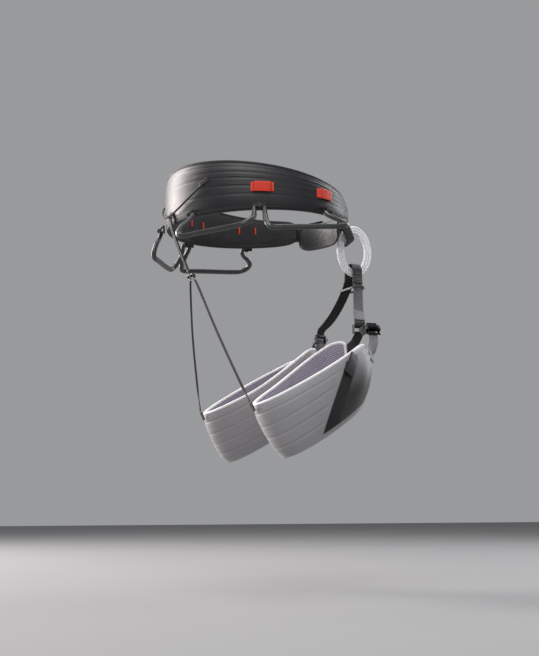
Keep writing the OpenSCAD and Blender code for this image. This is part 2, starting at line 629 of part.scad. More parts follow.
leg_riser_tab_left();
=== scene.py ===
import math

import bmesh
import bpy
import numpy as np
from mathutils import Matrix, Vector


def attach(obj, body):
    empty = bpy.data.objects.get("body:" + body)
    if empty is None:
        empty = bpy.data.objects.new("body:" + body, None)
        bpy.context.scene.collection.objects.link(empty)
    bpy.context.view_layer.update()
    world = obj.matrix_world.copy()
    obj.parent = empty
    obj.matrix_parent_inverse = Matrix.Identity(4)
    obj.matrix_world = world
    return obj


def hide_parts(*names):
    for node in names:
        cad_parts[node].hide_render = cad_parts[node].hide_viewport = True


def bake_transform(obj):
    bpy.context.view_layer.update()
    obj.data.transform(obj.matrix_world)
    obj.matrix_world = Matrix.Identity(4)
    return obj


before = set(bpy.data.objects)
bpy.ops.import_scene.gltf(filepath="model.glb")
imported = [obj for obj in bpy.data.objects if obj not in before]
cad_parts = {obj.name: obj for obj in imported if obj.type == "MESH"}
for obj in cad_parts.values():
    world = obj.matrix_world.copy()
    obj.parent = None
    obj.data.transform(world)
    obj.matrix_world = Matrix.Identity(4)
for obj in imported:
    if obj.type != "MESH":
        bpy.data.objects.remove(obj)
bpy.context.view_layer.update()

# The harness as worn: the wearer faces -Y and their left side is +X. Sizes are in millimetres, as in
# the CAD source, and turn into metres only where a mesh is made.
MM = 0.001
SIDES = ("left", "right")

# ---- sizes of the CAD parts ----
BELT_R, BELT_NOSE, BELT_TOP, BELT_RISE, BELT_LIFT, BELT_THICK = 141, 12, 65, 18.5, 12, 12
PAD_LEFT, PAD_RIGHT, END_ROUND = 34, 350, 16
WEB_W, WEB_T, WEB_Z, WEB_END, WEB_LEFT = 25, 1.8, 30, -9, 58
BIND_T, LAY = 1, 0.2
FRONT_PHI, REAR_PHI, SLOT_L, SLOT_H, SLOT_Z, SLOT_LIFT = 70, 112.5, 34, 15, 35.5, 2.4
PIVOT_OFF, LOOP_D, STUB_D, STUB, STUB_OUT = 7.5, 7, 4.6, 2.2, 0.4
TURN = 180 / math.pi / BELT_R       # degrees round the belt for a millimetre along it
FRONT_PIVOTS = [(70.5, 8), (113, 3.5)]
REAR_PIVOTS = [(115.4, 3.5), (156, 1)]
PAD_H, PAD_T, LEG_HALF_W, STRAP_W, STRAP_T = 90, 11, 58, 17, 1.6
LEG_MID = np.array([80, -50, -223.0])
LEG_BACK = np.array([9.5, 97.5, -55.5])
DROP_BACK = np.array([8, -45, -77.0])
DROP_FRONT = np.array([8, 8, -98.0])
LEG_FROM, LEG_TO, LEG_PER_DEG, LEG_ROUND = -152, 158, 1.25, 30
ON_PAD = -(BIND_T + LAY + STRAP_T / 2 + 0.6)
JOINT_AT = np.array([62, -151, -145.0])
RING_TURN = math.radians(-72.5)
PIN_DIR = np.array([math.cos(RING_TURN), math.sin(RING_TURN), 0])
RING_DROP = 10
BUCKLE_AT, BUCKLE_TURN, BUCKLE_YAW = np.array([81, -160.5, -154.0]), math.radians(45), math.radians(10)


# ---- curves and small vector helpers ----
def vec(*p):
    return np.array(p, float)


def mix(a, b, t):
    return a + (b - a) * t


def smooth(t):
    u = np.clip(t, 0, 1)
    return u * u * (3 - 2 * u)


def unit(v):
    return v / np.maximum(np.linalg.norm(v, axis=-1, keepdims=True), 1e-12)


def polar(phi, r, z):
    a = np.radians(phi)
    return np.stack(np.broadcast_arrays(r * np.sin(a), -r * np.cos(a), z), axis=-1)


def outward(phi):
    """The direction out of the belt."""
    return polar(phi, 1.0, 0.0)


def circle(n):
    """n angles round a circle."""
    return np.arange(n) * 2 * np.pi / n


def squarer(x, power):
    """A sine or cosine that bulges towards a rectangle's corners."""
    return np.sign(x) * np.abs(x) ** power


def corner(d, r):
    """How far an edge is pulled in at an end rounded by r, d being the distance from that end."""
    return np.where(d >= r, 0, r - np.sqrt(np.maximum(0, r * r - (r - d) ** 2)))


def spline(points, n):
    """A smooth curve through the points, n steps between two of them."""
    p = np.asarray(points, float)
    last = len(p) - 1
    a, b, c, d = (p[np.clip(np.arange(last) + k, 0, last), None] for k in (-1, 0, 1, 2))
    t = (np.arange(n) / n)[:, None]
    curve = 0.5 * (2 * b + (c - a) * t + (2 * a - 5 * b + 4 * c - d) * t * t
                   + (3 * b - a - 3 * c + d) * t ** 3)
    return np.vstack([curve.reshape(-1, 3), p[last:]])


def tangents(p, closed=False):
    if closed:
        return unit(np.roll(p, -1, 0) - np.roll(p, 1, 0))
    return unit(np.gradient(p, axis=0))


def run_length(p, closed=False):
    """Distance along p, with the closing step at the end where it is closed."""
    q = np.vstack([p, p[:1]]) if closed else p
    return np.concatenate([[0], np.cumsum(np.linalg.norm(np.diff(q, axis=0), axis=1))])


def carried(p, start):
    """A direction square to the path that is carried along it without twisting."""
    t = tangents(p)
    side = [unit(start - t[0] * (start @ t[0]))]
    for i in range(1, len(p)):
        s = side[-1] - t[i] * (side[-1] @ t[i])
        side.append(unit(s))
    return np.array(side)


def mirror(p):
    return np.asarray(p, float) * vec(-1, 1, 1)


# ---- meshes ----
def in_scene(name, data):
    made = bpy.data.objects.new(name, data)
    bpy.context.scene.collection.objects.link(made)
    return made


def linked(name, points, faces, uv=None):
    """A smooth mesh in the scene. uv is the cloth's own lengths at the faces' corners, kept as the map
    "cloth" that the weaves are drawn with."""
    mesh = bpy.data.meshes.new(name)
    mesh.from_pydata((points * MM).tolist(), [], faces)
    layer = mesh.uv_layers.new(name="cloth")
    if uv is not None:
        layer.data.foreach_set("uv", uv.astype(np.float32).ravel())
        bm = bmesh.new()
        bm.from_mesh(mesh)
        bmesh.ops.recalc_face_normals(bm, faces=bm.faces)
        bm.to_mesh(mesh)
        bm.free()
    mesh.polygons.foreach_set("use_smooth", [True] * len(mesh.polygons))
    return in_scene(name, mesh)


def surface(name, grid, u, v, wrap_u=False, wrap_v=False, caps=False):
    """Quads through a grid of points. u and v are the cloth's own lengths along rows and columns."""
    n, m = grid.shape[:2]
    nu, nv = n if wrap_u else n - 1, m if wrap_v else m - 1
    i, j = (a.ravel() for a in np.meshgrid(np.arange(nu), np.arange(nv), indexing="ij"))
    around = [(i, j), (i + 1, j), (i + 1, j + 1), (i, j + 1)]
    faces = np.stack([(a % n) * m + b % m for a, b in around], axis=1).tolist()
    uv = np.stack([np.stack([u[a], v[b]], axis=1) for a, b in around], axis=1).reshape(-1, 2)
    if caps:
        faces += [list(range(m))[::-1], list(range((n - 1) * m, n * m))]
        uv = np.vstack([uv] + [np.stack([v[:m], np.full(m, 1.0)], axis=1)] * 2)
    return linked(name, grid.reshape(-1, 3), faces, uv)


def sweep(name, path, side, section, closed=False, scale=None):
    """A solid along path. section is an outline of (across, out) pairs, and side the across direction."""
    path = np.asarray(path, float)
    t = tangents(path, closed)
    side = np.broadcast_to(np.asarray(side, float), path.shape)
    s = unit(side - t * np.sum(side * t, axis=1, keepdims=True))
    out = np.cross(t, s)
    size = np.ones(len(path)) if scale is None else np.asarray(scale, float)
    sec = np.asarray(section, float)
    grid = (path[:, None] + (s[:, None] * sec[None, :, :1] + out[:, None] * sec[None, :, 1:])
            * size[:, None, None])
    return surface(name, grid, run_length(path, closed), run_length(sec, True),
                   wrap_u=closed, wrap_v=True, caps=not closed)


def round_section(d, n=16):
    return np.stack([np.cos(circle(n)), np.sin(circle(n))], axis=1) * d / 2


def webbing_section(w, t, steps=14, ridges=0, ridge=0.12):
    """Flat webbing with rounded edges, and lengthwise ridges where the real one has them."""
    x = np.sin(np.linspace(-np.pi / 2, np.pi / 2, steps + 1))
    h = t / 2 * (1 - 0.55 * np.abs(x) ** 6)
    if ridges:
        h = h * (1 - ridge * (1 + np.cos(np.pi * ridges * (x + 1))) / 2)
    upper = np.stack([x * w / 2, h], axis=1)
    return np.vstack([upper, upper[::-1] * [1, -1]])


def box_section(w, t, r):
    """A rectangle with rounded corners."""
    out = []
    for k, (x, y) in enumerate([(1, 1), (-1, 1), (-1, -1), (1, -1)]):
        for a in np.radians(np.linspace(0, 90, 5) + 90 * k):
            out.append((x * (w / 2 - r) + r * math.cos(a), y * (t / 2 - r) + r * math.sin(a)))
    return np.array(out)


def join(name, objects):
    """Several meshes as one piece."""
    first = objects[0]
    bm = bmesh.new()
    for o in objects:
        bm.from_mesh(o.data)
    bm.to_mesh(first.data)
    bm.free()
    for o in objects[1:]:
        bpy.data.objects.remove(o)
    first.name = name
    return first


def flip(obj):
    """Mirrors a left piece to the right."""
    n = len(obj.data.vertices)
    co = np.zeros(n * 3, np.float32)
    obj.data.vertices.foreach_get("co", co)
    co[0::3] *= -1
    obj.data.vertices.foreach_set("co", co)
    obj.data.flip_normals()
    return obj


def sided(obj, side):
    return flip(obj) if side == "right" else obj


def place(obj, body, slot, material, *replaced):
    obj.data.materials.clear()
    obj.data.materials.append(material)
    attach(obj, body)
    if replaced:
        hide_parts(*replaced)
    return obj


def sew(name, rows, slot, material, body="waist", side="left"):
    """Rows of stitches as one piece. They replace no node."""
    place(sided(join(name, rows), side), body, slot, material)


def stitches(path, normal, long=2.6, gap=1.4, wide=0.55):
    """A row of thread stitches that lie on a surface along path, as small rounded lozenges."""
    path = np.asarray(path, float)
    normal = np.broadcast_to(np.asarray(normal, float), path.shape)
    s = run_length(path)
    starts = np.arange(gap, s[-1] - long, long + gap)
    if not len(starts):
        starts = np.array([0.0])

    def at(values, d):
        return np.stack([np.interp(d, s, values[:, k]) for k in range(3)], axis=-1)

    a, b = at(path, starts), at(path, starts + long)
    up = unit(at(normal, starts + long / 2))
    across = unit(np.cross(up, unit(b - a)))
    share, size = np.array([(0.0, 0.15), (0.14, 0.75), (0.5, 1.0), (0.86, 0.75), (1.0, 0.15)]).T
    x, y = round_section(2, 6).T[:, :, None]
    middle = mix(a[:, None], b[:, None], share[:, None]) + up[:, None] * (0.10 * wide)
    ring = across[:, None] * x + up[:, None] * y * 0.8
    verts = middle[:, :, None] + ring[:, None] * (wide * 0.5 * size)[:, None, None]
    levels = len(size)
    faces = [(i * 6 + j, i * 6 + (j + 1) % 6, i * 6 + 6 + (j + 1) % 6, i * 6 + 6 + j)
             for i in range(levels - 1) for j in range(6)]
    faces += [tuple(range(5, -1, -1)), tuple(range(levels * 6 - 6, levels * 6))]
    each = [tuple(q + k * levels * 6 for q in f) for k in range(len(starts)) for f in faces]
    return linked("row", verts.reshape(-1, 3), each)


def zigzag(a, b, side, n):
    """Points of a bar tack between a and b, going n times from side to side."""
    a, b, side = (np.asarray(x, float) for x in (a, b, side))
    return np.array([mix(a, b, k / n) + side * (1 if k % 2 else -1) for k in range(n + 1)])


# ---- materials ----
class Graph:
    """A material's nodes, written as sums."""

    def __init__(self, name, colour, rough, metallic=0.0, sheen=0.0, coat=0.0, specular=0.5):
        self.mat = bpy.data.materials.new(name)
        self.mat.use_nodes = True
        self.tree = self.mat.node_tree
        self.shader = self.tree.nodes["Principled BSDF"]
        for socket, value in (("Base Color", (*colour, 1)), ("Roughness", rough), ("Metallic", metallic),
                              ("Specular IOR Level", specular), ("Sheen Weight", sheen),
                              ("Sheen Roughness", 0.45), ("Coat Weight", coat), ("Coat Roughness", 0.18)):
            self.set(socket, value)
        self.mat.diffuse_color = (*colour, 1)

    def set(self, name, value):
        self.put(self.shader.inputs[name], value)

    def put(self, socket, value):
        if isinstance(value, bpy.types.NodeSocket):
            self.tree.links.new(value, socket)
        else:
            socket.default_value = value

    def finish(self, colour, normal):
        self.set("Base Color", colour)
        self.set("Normal", normal)
        return self.mat

    def math(self, operation, a, b=0.0):
        made = self.tree.nodes.new("ShaderNodeMath")
        made.operation = operation
        self.put(made.inputs[0], a)
        self.put(made.inputs[1], b)
        return made.outputs[0]

    def plus(self, a, b):
        return self.math("ADD", a, b)

    def times(self, a, b):
        return self.math("MULTIPLY", a, b)

    def wave(self, turns):
        """The size of a sine that comes back after each whole turn."""
        return self.math("ABSOLUTE", self.math("SINE", self.times(turns, math.pi)))

    def uneven(self, source, less, more):
        """Roughness that wanders round its mean where source does."""
        rough = self.shader.inputs["Roughness"].default_value
        self.set("Roughness", self.span(source, rough - less, rough + more, 0.3, 0.7))

    def cloth(self):
        made = self.tree.nodes.new("ShaderNodeAttribute")
        made.attribute_name = "cloth"
        split = self.tree.nodes.new("ShaderNodeSeparateXYZ")
        self.tree.links.new(made.outputs["Vector"], split.inputs[0])
        return split.outputs[0], split.outputs[1]

    def noise(self, scale, detail=3.0):
        made = self.tree.nodes.new("ShaderNodeTexNoise")
        where = self.tree.nodes.new("ShaderNodeTexCoord").outputs["Object"]
        self.put(made.inputs["Vector"], where)
        made.inputs["Scale"].default_value = scale
        made.inputs["Detail"].default_value = detail
        return made.outputs["Fac"]

    def span(self, value, low, high, from_low, from_high, form="LINEAR"):
        made = self.tree.nodes.new("ShaderNodeMapRange")
        made.interpolation_type = form
        for k, x in enumerate((value, from_low, from_high, low, high)):
            self.put(made.inputs[k], x)
        return made.outputs[0]

    def blend(self, share, a, b):
        made = self.tree.nodes.new("ShaderNodeMix")
        made.data_type = "RGBA"
        self.put(made.inputs[0], share)
        for k, colour in ((6, a), (7, b)):
            self.put(made.inputs[k], (*colour, 1) if isinstance(colour, tuple) else colour)
        return made.outputs[2]

    def bump(self, height, depth, strength=1.0, over=None):
        made = self.tree.nodes.new("ShaderNodeBump")
        made.inputs["Distance"].default_value = depth * MM
        made.inputs["Strength"].default_value = strength
        self.put(made.inputs["Height"], height)
        if over is not None:
            self.put(made.inputs["Normal"], over)
        return made.outputs[0]


def threads(g, along, across, twill=0.5):
    """Height of a weave: threads along the cloth, of the pitch across, that go over and under at the
    pitch along. A twill of 0.5 is a plain weave, and less gives slanting ribs."""
    u, v = g.cloth()
    row = g.math("FLOOR", g.math("DIVIDE", v, across))
    over = g.wave(g.plus(g.math("DIVIDE", u, along), g.times(row, twill)))
    crown = g.wave(g.times(v, 1 / across))
    return g.times(g.math("SQRT", crown), g.plus(0.35, g.times(over, 0.65)))


def woven(name, dark, light, along, across, depth, rough, sheen=0.1, twill=0.5, fuzz=0.5, back=None):
    """Webbing, tape and cloth. With back, the first face of a strap's outline has that colour."""
    g = Graph(name, light, rough, sheen=sheen, specular=0.35)
    height = threads(g, along, across, twill)
    worn = g.noise(55.0, 4.0)
    colour = g.blend(g.plus(g.times(height, 1 - fuzz * 0.5), g.times(worn, fuzz * 0.5)), dark, light)
    if back is not None:
        colour = g.blend(g.math("LESS_THAN", g.cloth()[1], STRAP_W + 0.4), colour, back)
    g.uneven(worn, 0.09, 0.09)
    return g.finish(colour, g.bump(height, depth, 1.0, g.bump(g.noise(2600.0, 2.0), 0.10, 0.6)))


def laminate(name, dark, light, rough, sheen=0.15, micro=0.55, tint=None):
    """The smooth face fabric of the pads: a very fine weave, soft colour clouds and faint creases."""
    g = Graph(name, light, rough, sheen=sheen, specular=0.45)
    fine = threads(g, micro, micro)
    clouds = g.noise(16.0, 5.0)
    colour = g.blend(g.plus(g.times(fine, 0.35), g.times(clouds, 0.65)), dark, light)
    g.uneven(clouds, 0.07, 0.08)
    return g.finish(tint(g, colour) if tint else colour,
                    g.bump(fine, 0.05, 0.8, g.bump(g.noise(90.0, 3.0), 0.35, 0.35)))


def knitted(name, dark, light, rib, cell, depth, rough, sheen):
    """Spacer mesh: raised ribs along the cloth with small open cells between them."""
    g = Graph(name, light, rough, sheen=sheen, specular=0.25)
    u, v = g.cloth()
    ribs = g.math("POWER", g.wave(g.times(v, 1 / rib)), 0.7)
    row = g.math("FLOOR", g.math("DIVIDE", v, rib))
    cells = g.wave(g.plus(g.math("DIVIDE", u, cell), g.times(row, 0.5)))
    height = g.times(ribs, g.plus(0.55, g.times(cells, 0.45)))
    clouds = g.noise(30.0)
    g.uneven(clouds, 0.06, 0.06)
    return g.finish(g.blend(g.plus(g.times(height, 0.8), g.times(clouds, 0.2)), dark, light),
                    g.bump(height, depth, 1.0, g.bump(g.noise(1800.0, 2.0), 0.12, 0.5)))


def moulded(name, colour, light, rough):
    """Moulded plastic with a fine grain and slightly rubbed high spots."""
    g = Graph(name, colour, rough, coat=0.15, specular=0.55)
    rubbed = g.noise(60.0)
    g.uneven(rubbed, 0.04, 0.06)
    return g.finish(g.blend(g.span(rubbed, 0.0, 1.0, 0.35, 0.75), colour, light),
                    g.bump(g.noise(900.0, 2.0), 0.008, 0.15))


def anodised(name, colour, edge, rough):
    """Dark anodised metal, with bare worn edges and fine brushing."""
    g = Graph(name, colour, rough, metallic=1.0, specular=0.5)
    geometry = g.tree.nodes.new("ShaderNodeNewGeometry")
    worn = g.plus(g.span(geometry.outputs["Pointiness"], 0.0, 0.8, 0.54, 0.64),
                  g.times(g.span(g.noise(300.0, 4.0), 0.0, 1.0, 0.55, 0.75), 0.08))
    g.uneven(g.noise(420.0), 0.08, 0.12)
    return g.finish(g.blend(g.math("MINIMUM", worn, 1.0), colour, edge),
                    g.bump(g.noise(1500.0, 2.0), 0.03, 0.4))


def thread(name, colour):
    g = Graph(name, colour, 0.55, sheen=0.2, specular=0.4)
    twist = g.noise(1400.0, 2.0)
    return g.finish(g.blend(twist, tuple(c * 0.75 for c in colour), colour), g.bump(twist, 0.08, 0.5))


def braided(name, dark, light, pitch, around):
    """The sheath of a cord: two sets of strands that cross."""
    g = Graph(name, light, 0.6, sheen=0.15, specular=0.35)
    u, v = g.cloth()
    turn, lean = g.math("DIVIDE", u, pitch), g.times(v, 1.0 / around)
    strands = [g.math("SINE", g.times(g.math(way, turn, lean), 2 * math.pi)) for way in ("ADD", "SUBTRACT")]
    height = g.math("MAXIMUM", *strands)
    return g.finish(g.blend(g.span(height, 0.0, 1.0, -0.2, 1.0), dark, light), g.bump(height, 0.25))


BELT_FABRIC = laminate("belt_fabric", (0.008, 0.008, 0.010), (0.017, 0.017, 0.020), 0.44, sheen=0.04)
BELT_MESH = woven("belt_mesh", (0.002, 0.002, 0.003), (0.034, 0.034, 0.037), 4.2, 1.6, 0.7, 0.8, sheen=0.04,
                  twill=0.4, fuzz=0.15)
BINDING = woven("binding_black", (0.004, 0.004, 0.005), (0.014, 0.014, 0.016), 1.1, 0.9, 0.15, 0.6,
                sheen=0.03)
WEB_GREY = woven("webbing_grey", (0.018, 0.017, 0.019), (0.115, 0.110, 0.116),
                 3.6, 2.3, 0.7, 0.55, sheen=0.04, twill=0.35, fuzz=0.2, back=(0.005, 0.005, 0.006))
WEB_DARK = woven("webbing_dark", (0.012, 0.011, 0.013), (0.050, 0.047, 0.051),
                 2.6, 1.6, 0.42, 0.55, sheen=0.04, twill=0.3)
WEB_PALE = woven("webbing_pale", (0.085, 0.084, 0.088), (0.20, 0.196, 0.204), 2.6, 1.6, 0.36, 0.5, twill=0.3)
WEB_BLACK = woven("webbing_black", (0.004, 0.004, 0.005), (0.017, 0.017, 0.019),
                  2.0, 1.3, 0.3, 0.55, sheen=0.04, twill=0.25)
WEB_RED = woven("webbing_red", (0.40, 0.010, 0.003), (0.78, 0.040, 0.008), 1.6, 1.2, 0.22, 0.45, sheen=0.03)
WEB_WHITE = woven("webbing_white", (0.62, 0.62, 0.635), (0.88, 0.88, 0.89), 2.2, 1.3, 0.10, 0.42, sheen=0.1)
ELASTIC = woven("elastic_black", (0.030, 0.026, 0.026), (0.060, 0.053, 0.053), 0.9, 0.8, 0.02, 0.5,
                sheen=0.03, fuzz=0.1)
LOOP_PLASTIC = moulded("loop_plastic", (0.026, 0.026, 0.028), (0.034, 0.034, 0.037), 0.30)
HOOK_PLASTIC = moulded("hook_plastic", (0.012, 0.012, 0.013), (0.018, 0.018, 0.019), 0.45)
BUCKLE = anodised("buckle_metal", (0.012, 0.012, 0.014), (0.45, 0.45, 0.47), 0.26)
STEEL = anodised("bar_metal", (0.035, 0.035, 0.038), (0.50, 0.50, 0.52), 0.28)
CORD = braided("cord_black", (0.004, 0.004, 0.005), (0.026, 0.026, 0.028), 2.4, 2.5)
THREAD_DARK = thread("thread_dark", (0.045, 0.045, 0.05))
THREAD_LIGHT = thread("thread_light", (0.55, 0.55, 0.57))
THREAD_RED = thread("thread_red", (0.80, 0.22, 0.16))
THREAD_GREY = thread("thread_grey", (0.16, 0.155, 0.16))
LEG_DARK, LEG_LIGHT = (0.215, 0.21, 0.219), (0.30, 0.293, 0.302)
LEG_FABRIC = laminate("leg_fabric", LEG_DARK, LEG_LIGHT, 0.46, sheen=0.2)
RIM_WHITE = laminate("rim_white", (0.60, 0.59, 0.60), (0.78, 0.77, 0.775), 0.42, sheen=0.25, micro=0.8)
LEG_MESH = knitted("leg_mesh", (0.115, 0.10, 0.14), (0.40, 0.37, 0.45), 3.4, 1.7, 0.75, 0.75, 0.1)


def fade(g, colour):
    """The front panel runs from grey at its upper edge to near black along the bottom."""
    u, v = g.cloth()
    share = g.span(g.plus(v, g.times(u, -0.15)), 0.0, 1.0, 8.0, 62.0, "SMOOTHSTEP")
    return g.blend(share, colour, (0.014, 0.014, 0.016))


LEG_PANEL = laminate("leg_panel", (0.125, 0.122, 0.127), (0.24, 0.235, 0.242), 0.46, sheen=0.2, tint=fade)


# ---- waist belt surfaces ----
def to_front(phi):
    a = np.mod(phi, 360)
    return np.where(a > 180, 360 - a, a)


def belt_out(phi):
    return BELT_R + BELT_NOSE * np.exp(-(to_front(phi) / 24) ** 2)


def on_belt(phi, off, z):
    """A point off the belt's outer face."""
    return polar(phi, belt_out(phi) + off, z)


def narrow(phi):
    return smooth((50 - to_front(phi)) / 40)


def top_z(phi):
    return BELT_TOP - BELT_RISE * np.cos(np.radians(phi)) - 4 * narrow(phi)


def low_z(phi):
    return BELT_LIFT * (1 + np.cos(np.radians(phi))) / 2 + 9 * narrow(phi)


def from_end(phi):
    return np.minimum(phi - PAD_LEFT, PAD_RIGHT - phi) / TURN


def web_r(phi):
    return mix(belt_out(np.abs(phi)) - BELT_THICK / 2,
               belt_out(np.abs(phi)) + BIND_T + WEB_T / 2 + 0.4, smooth((phi - WEB_END) / 44))


EDGE_NEAR, EDGE_FAR = 3.2, 8.6      # depth of the pad's two faces where they meet the binding
CROWN = 0.9                         # how far each face stands out in the middle
ARCH = 4.5                          # power of a pad's cross-section: higher is flatter in the middle
TUCK = 0.45                         # share of an end's rounding that narrows the pad


def belt_point(phi, v, inner=False):
    """A point of the pad's outer or inner face, v going from the lower to the upper edge."""
    pull = corner(from_end(phi), END_ROUND) * TUCK
    low, top = low_z(phi) + pull + 1.5, top_z(phi) - pull - 1.5
    full = smooth(from_end(phi) / 26) ** 0.5
    arch = (1 - np.abs(2 * v - 1) ** ARCH) * mix(0.25, 1, full)
    near, far = mix(EDGE_NEAR, -CROWN, arch), mix(EDGE_FAR, BELT_THICK + 0.4, arch)
    return polar(phi, belt_out(phi) - (far if inner else near), mix(low, top, v))


GROOVES = (0.885, 0.775, 0.645, 0.475, 0.30)


def belt_groove(phi, v):
    """Depth of the welded channels, which draw together towards the front."""
    f = to_front(phi)
    height = top_z(phi) - low_z(phi)
    depth = np.zeros(np.broadcast(phi, v).shape)
    for k, g in enumerate(GROOVES):
        line = g + (0.66 - g) * 0.45 * smooth((75 - f) / 60) - 0.02 * smooth((f - 120) / 50) * (k == 1)
        seen = smooth((170 - f) / 25) if k in (1, 3) else 1.0
        depth = depth + np.exp(-(((v - line) * height) / 1.1) ** 2) * seen * (0.5 if k < 2 else 0.42)
    return depth


# ---- leg loop surfaces, for the left leg ----
def rim(t, d):
    t, d = np.broadcast_arrays(t, d)
    a = np.radians(t)
    long = np.linalg.norm(LEG_BACK)
    along = LEG_BACK * ((1 - d / long) * np.cos(a))[..., None]
    wide = np.stack([(LEG_HALF_W - d) * np.sin(a), 0 * a, 15 * smooth((-t - 60) / 75)], axis=-1)
    return LEG_MID + along + wide


def fall(t):
    c = ((1 - np.cos(np.radians(t))) / 2)[..., None]
    lean = np.stack([-6 * np.sin(np.radians(t)), 0 * t, 0 * t], axis=-1)
    return (mix(DROP_BACK, DROP_FRONT, c) + lean) * PAD_H / 90


def belly(t):
    return 3 + 9 * smooth((t - 95) / 45)


def leg_out(t):
    return unit(rim(t, 0.0 * t) - rim(t, 0.0 * t + 10))


def leg_pt(t, d, s):
    t, d, s = np.broadcast_arrays(np.asarray(t, float), np.asarray(d, float), np.asarray(s, float))
    f = fall(t)
    long = np.linalg.norm(f, axis=-1)
    bulge = belly(t) * np.sin(np.pi * np.clip(s / long, 0, 1))
    return rim(t, d) + f / long[..., None] * s[..., None] + leg_out(t) * bulge[..., None]


def leg_edge(t):
    return corner(np.minimum(t - LEG_FROM, LEG_TO - t) * LEG_PER_DEG, LEG_ROUND)


def leg_reach(t, v):
    """Distance down from the rim, v going from the upper to the lower edge."""
    top = leg_edge(t) * TUCK + 2
    low = np.linalg.norm(fall(t), axis=-1) - leg_edge(t) * 0.85 - 2
    return mix(top, low, v)


LEG_GROOVES = (0.15, 0.385, 0.60, 0.81)


def leg_face(t, v, inner=False):
    full = smooth(np.minimum(t - LEG_FROM, LEG_TO - t) / 14) ** 0.5
    arch = (1 - np.abs(2 * v - 1) ** ARCH) * mix(0.3, 1, full)
    near, far = mix(EDGE_NEAR - 0.4, -CROWN, arch), mix(EDGE_FAR - 0.6, PAD_T + 0.3, arch)
    return leg_pt(t, far if inner else near, leg_reach(t, v))


def stripe_t(v, left):
    """Where the dark stripe's left border, or the panel's, lies at height v."""
    top, slant = (108, 38) if left else (124, 34)
    return top - slant * (v - 0.1) / 0.8


def leg_groove(t, v):
    """Channels of the grey part. They end at the stripe, and puckers spread from the outer tip."""
    long = np.linalg.norm(fall(t), axis=-1)
    depth = np.zeros(np.broadcast(t, v).shape)
    before = smooth((stripe_t(v, True) - 2 - t) / 6)
    for k, g in enumerate(LEG_GROOVES):
        line = g - 0.045 * smooth((t - 20) / 80) * (k > 0)
        width = 1.3 if k < 3 else 1.0
        depth = depth + np.exp(-(((v - line) * long) / width) ** 2) * before * (0.65 if k < 3 else 0.95)
    tip = smooth((t - 134) / 12) * smooth((0.55 - v) / 0.4)
    return depth + tip * 0.8 * np.sin((v * 1.7 + (t - 130) * 0.012) * 26)


# ---- cloth simulation of the pads ----
FRAMES = 18
PAD_CLOTH = {"quality": 5, "mass": 0.25, "tension_stiffness": 12, "compression_stiffness": 12,
             "shear_stiffness": 6, "bending_stiffness": 1.2, "air_damping": 3, "use_pressure": True,
             "uniform_pressure_force": 4.0, "vertex_group_mass": "seam"}


def inflate(name, ring, pinned, limit):
    """Blows up a closed pad, given as a grid whose rows go round it, between its pinned seams. Returns
    how far each point moved, at most limit."""
    n, m = ring.shape[:2]
    pad = surface(name, ring, np.arange(n + 1.0), np.arange(m + 1.0), wrap_v=True, caps=True)
    group = pad.vertex_groups.new(name="seam")
    held = np.flatnonzero(pinned.ravel()).tolist()
    group.add(held, 1.0, "REPLACE")
    cloth = pad.modifiers.new("cloth", "CLOTH")
    for name, value in PAD_CLOTH.items():
        setattr(cloth.settings, name, value)
    cloth.settings.effector_weights.gravity = 0
    cloth.point_cache.frame_start, cloth.point_cache.frame_end = 1, FRAMES
    scene = bpy.context.scene
    for f in range(1, FRAMES + 1):
        scene.frame_set(f)
    blown = pad.evaluated_get(bpy.context.evaluated_depsgraph_get())
    co = np.zeros(n * m * 3, np.float32)
    blown.data.vertices.foreach_get("co", co)
    moved = co.reshape(n, m, 3).astype(float) / MM - ring
    bpy.data.objects.remove(pad)
    scene.frame_set(1)
    far = np.linalg.norm(moved, axis=-1, keepdims=True)
    return moved * np.minimum(1, limit / np.maximum(far, 1e-9))


def sample(values, rows, cols, r, c):
    """Smooth lookup of a grid of vectors at rows r and columns c."""
    out = 0
    i = np.clip(np.interp(r, rows, np.arange(len(rows))), 0, len(rows) - 1.001)
    j = np.clip(np.interp(c, cols, np.arange(len(cols))), 0, len(cols) - 1.001)
    i0, j0 = i.astype(int), j.astype(int)
    fi, fj = smooth(i - i0)[..., None], smooth(j - j0)[..., None]
    for a, wa in ((0, 1 - fi), (1, fi)):
        for b, wb in ((0, 1 - fj), (1, fj)):
            out = out + values[i0 + a, j0 + b] * wa * wb
    return out


def end_spaced(a, b, n, near):
    """Positions from a to b, closer together near both ends."""
    w = np.linspace(0, 1, n)
    w = w - near * np.sin(2 * np.pi * w) / (2 * np.pi)
    return mix(a, b, w)


def pad_pillows(name, face, rows, cols, lines, limit):
    """Simulates a pad whose faces are given by face(row, col, inner), pinned at its edges and seams."""
    r, c = np.meshgrid(rows, cols, indexing="ij")
    outer, inner = face(r, c, False), face(r, c, True)
    ring = np.concatenate([outer, inner[:, ::-1]], axis=1)
    pin = np.zeros((len(rows), len(cols)), bool)
    pin[:, [0, 1, -2, -1]] = True
    pin[[0, 1, -2, -1], :] = True
    seams = pin.copy()
    for g in lines:
        seams[:, np.argmin(np.abs(cols - g))] = True
    moved = inflate(name, ring, np.concatenate([seams, pin[:, ::-1]], axis=1), limit)
    k = len(cols)
    return moved[:, :k], moved[:, k:][:, ::-1]


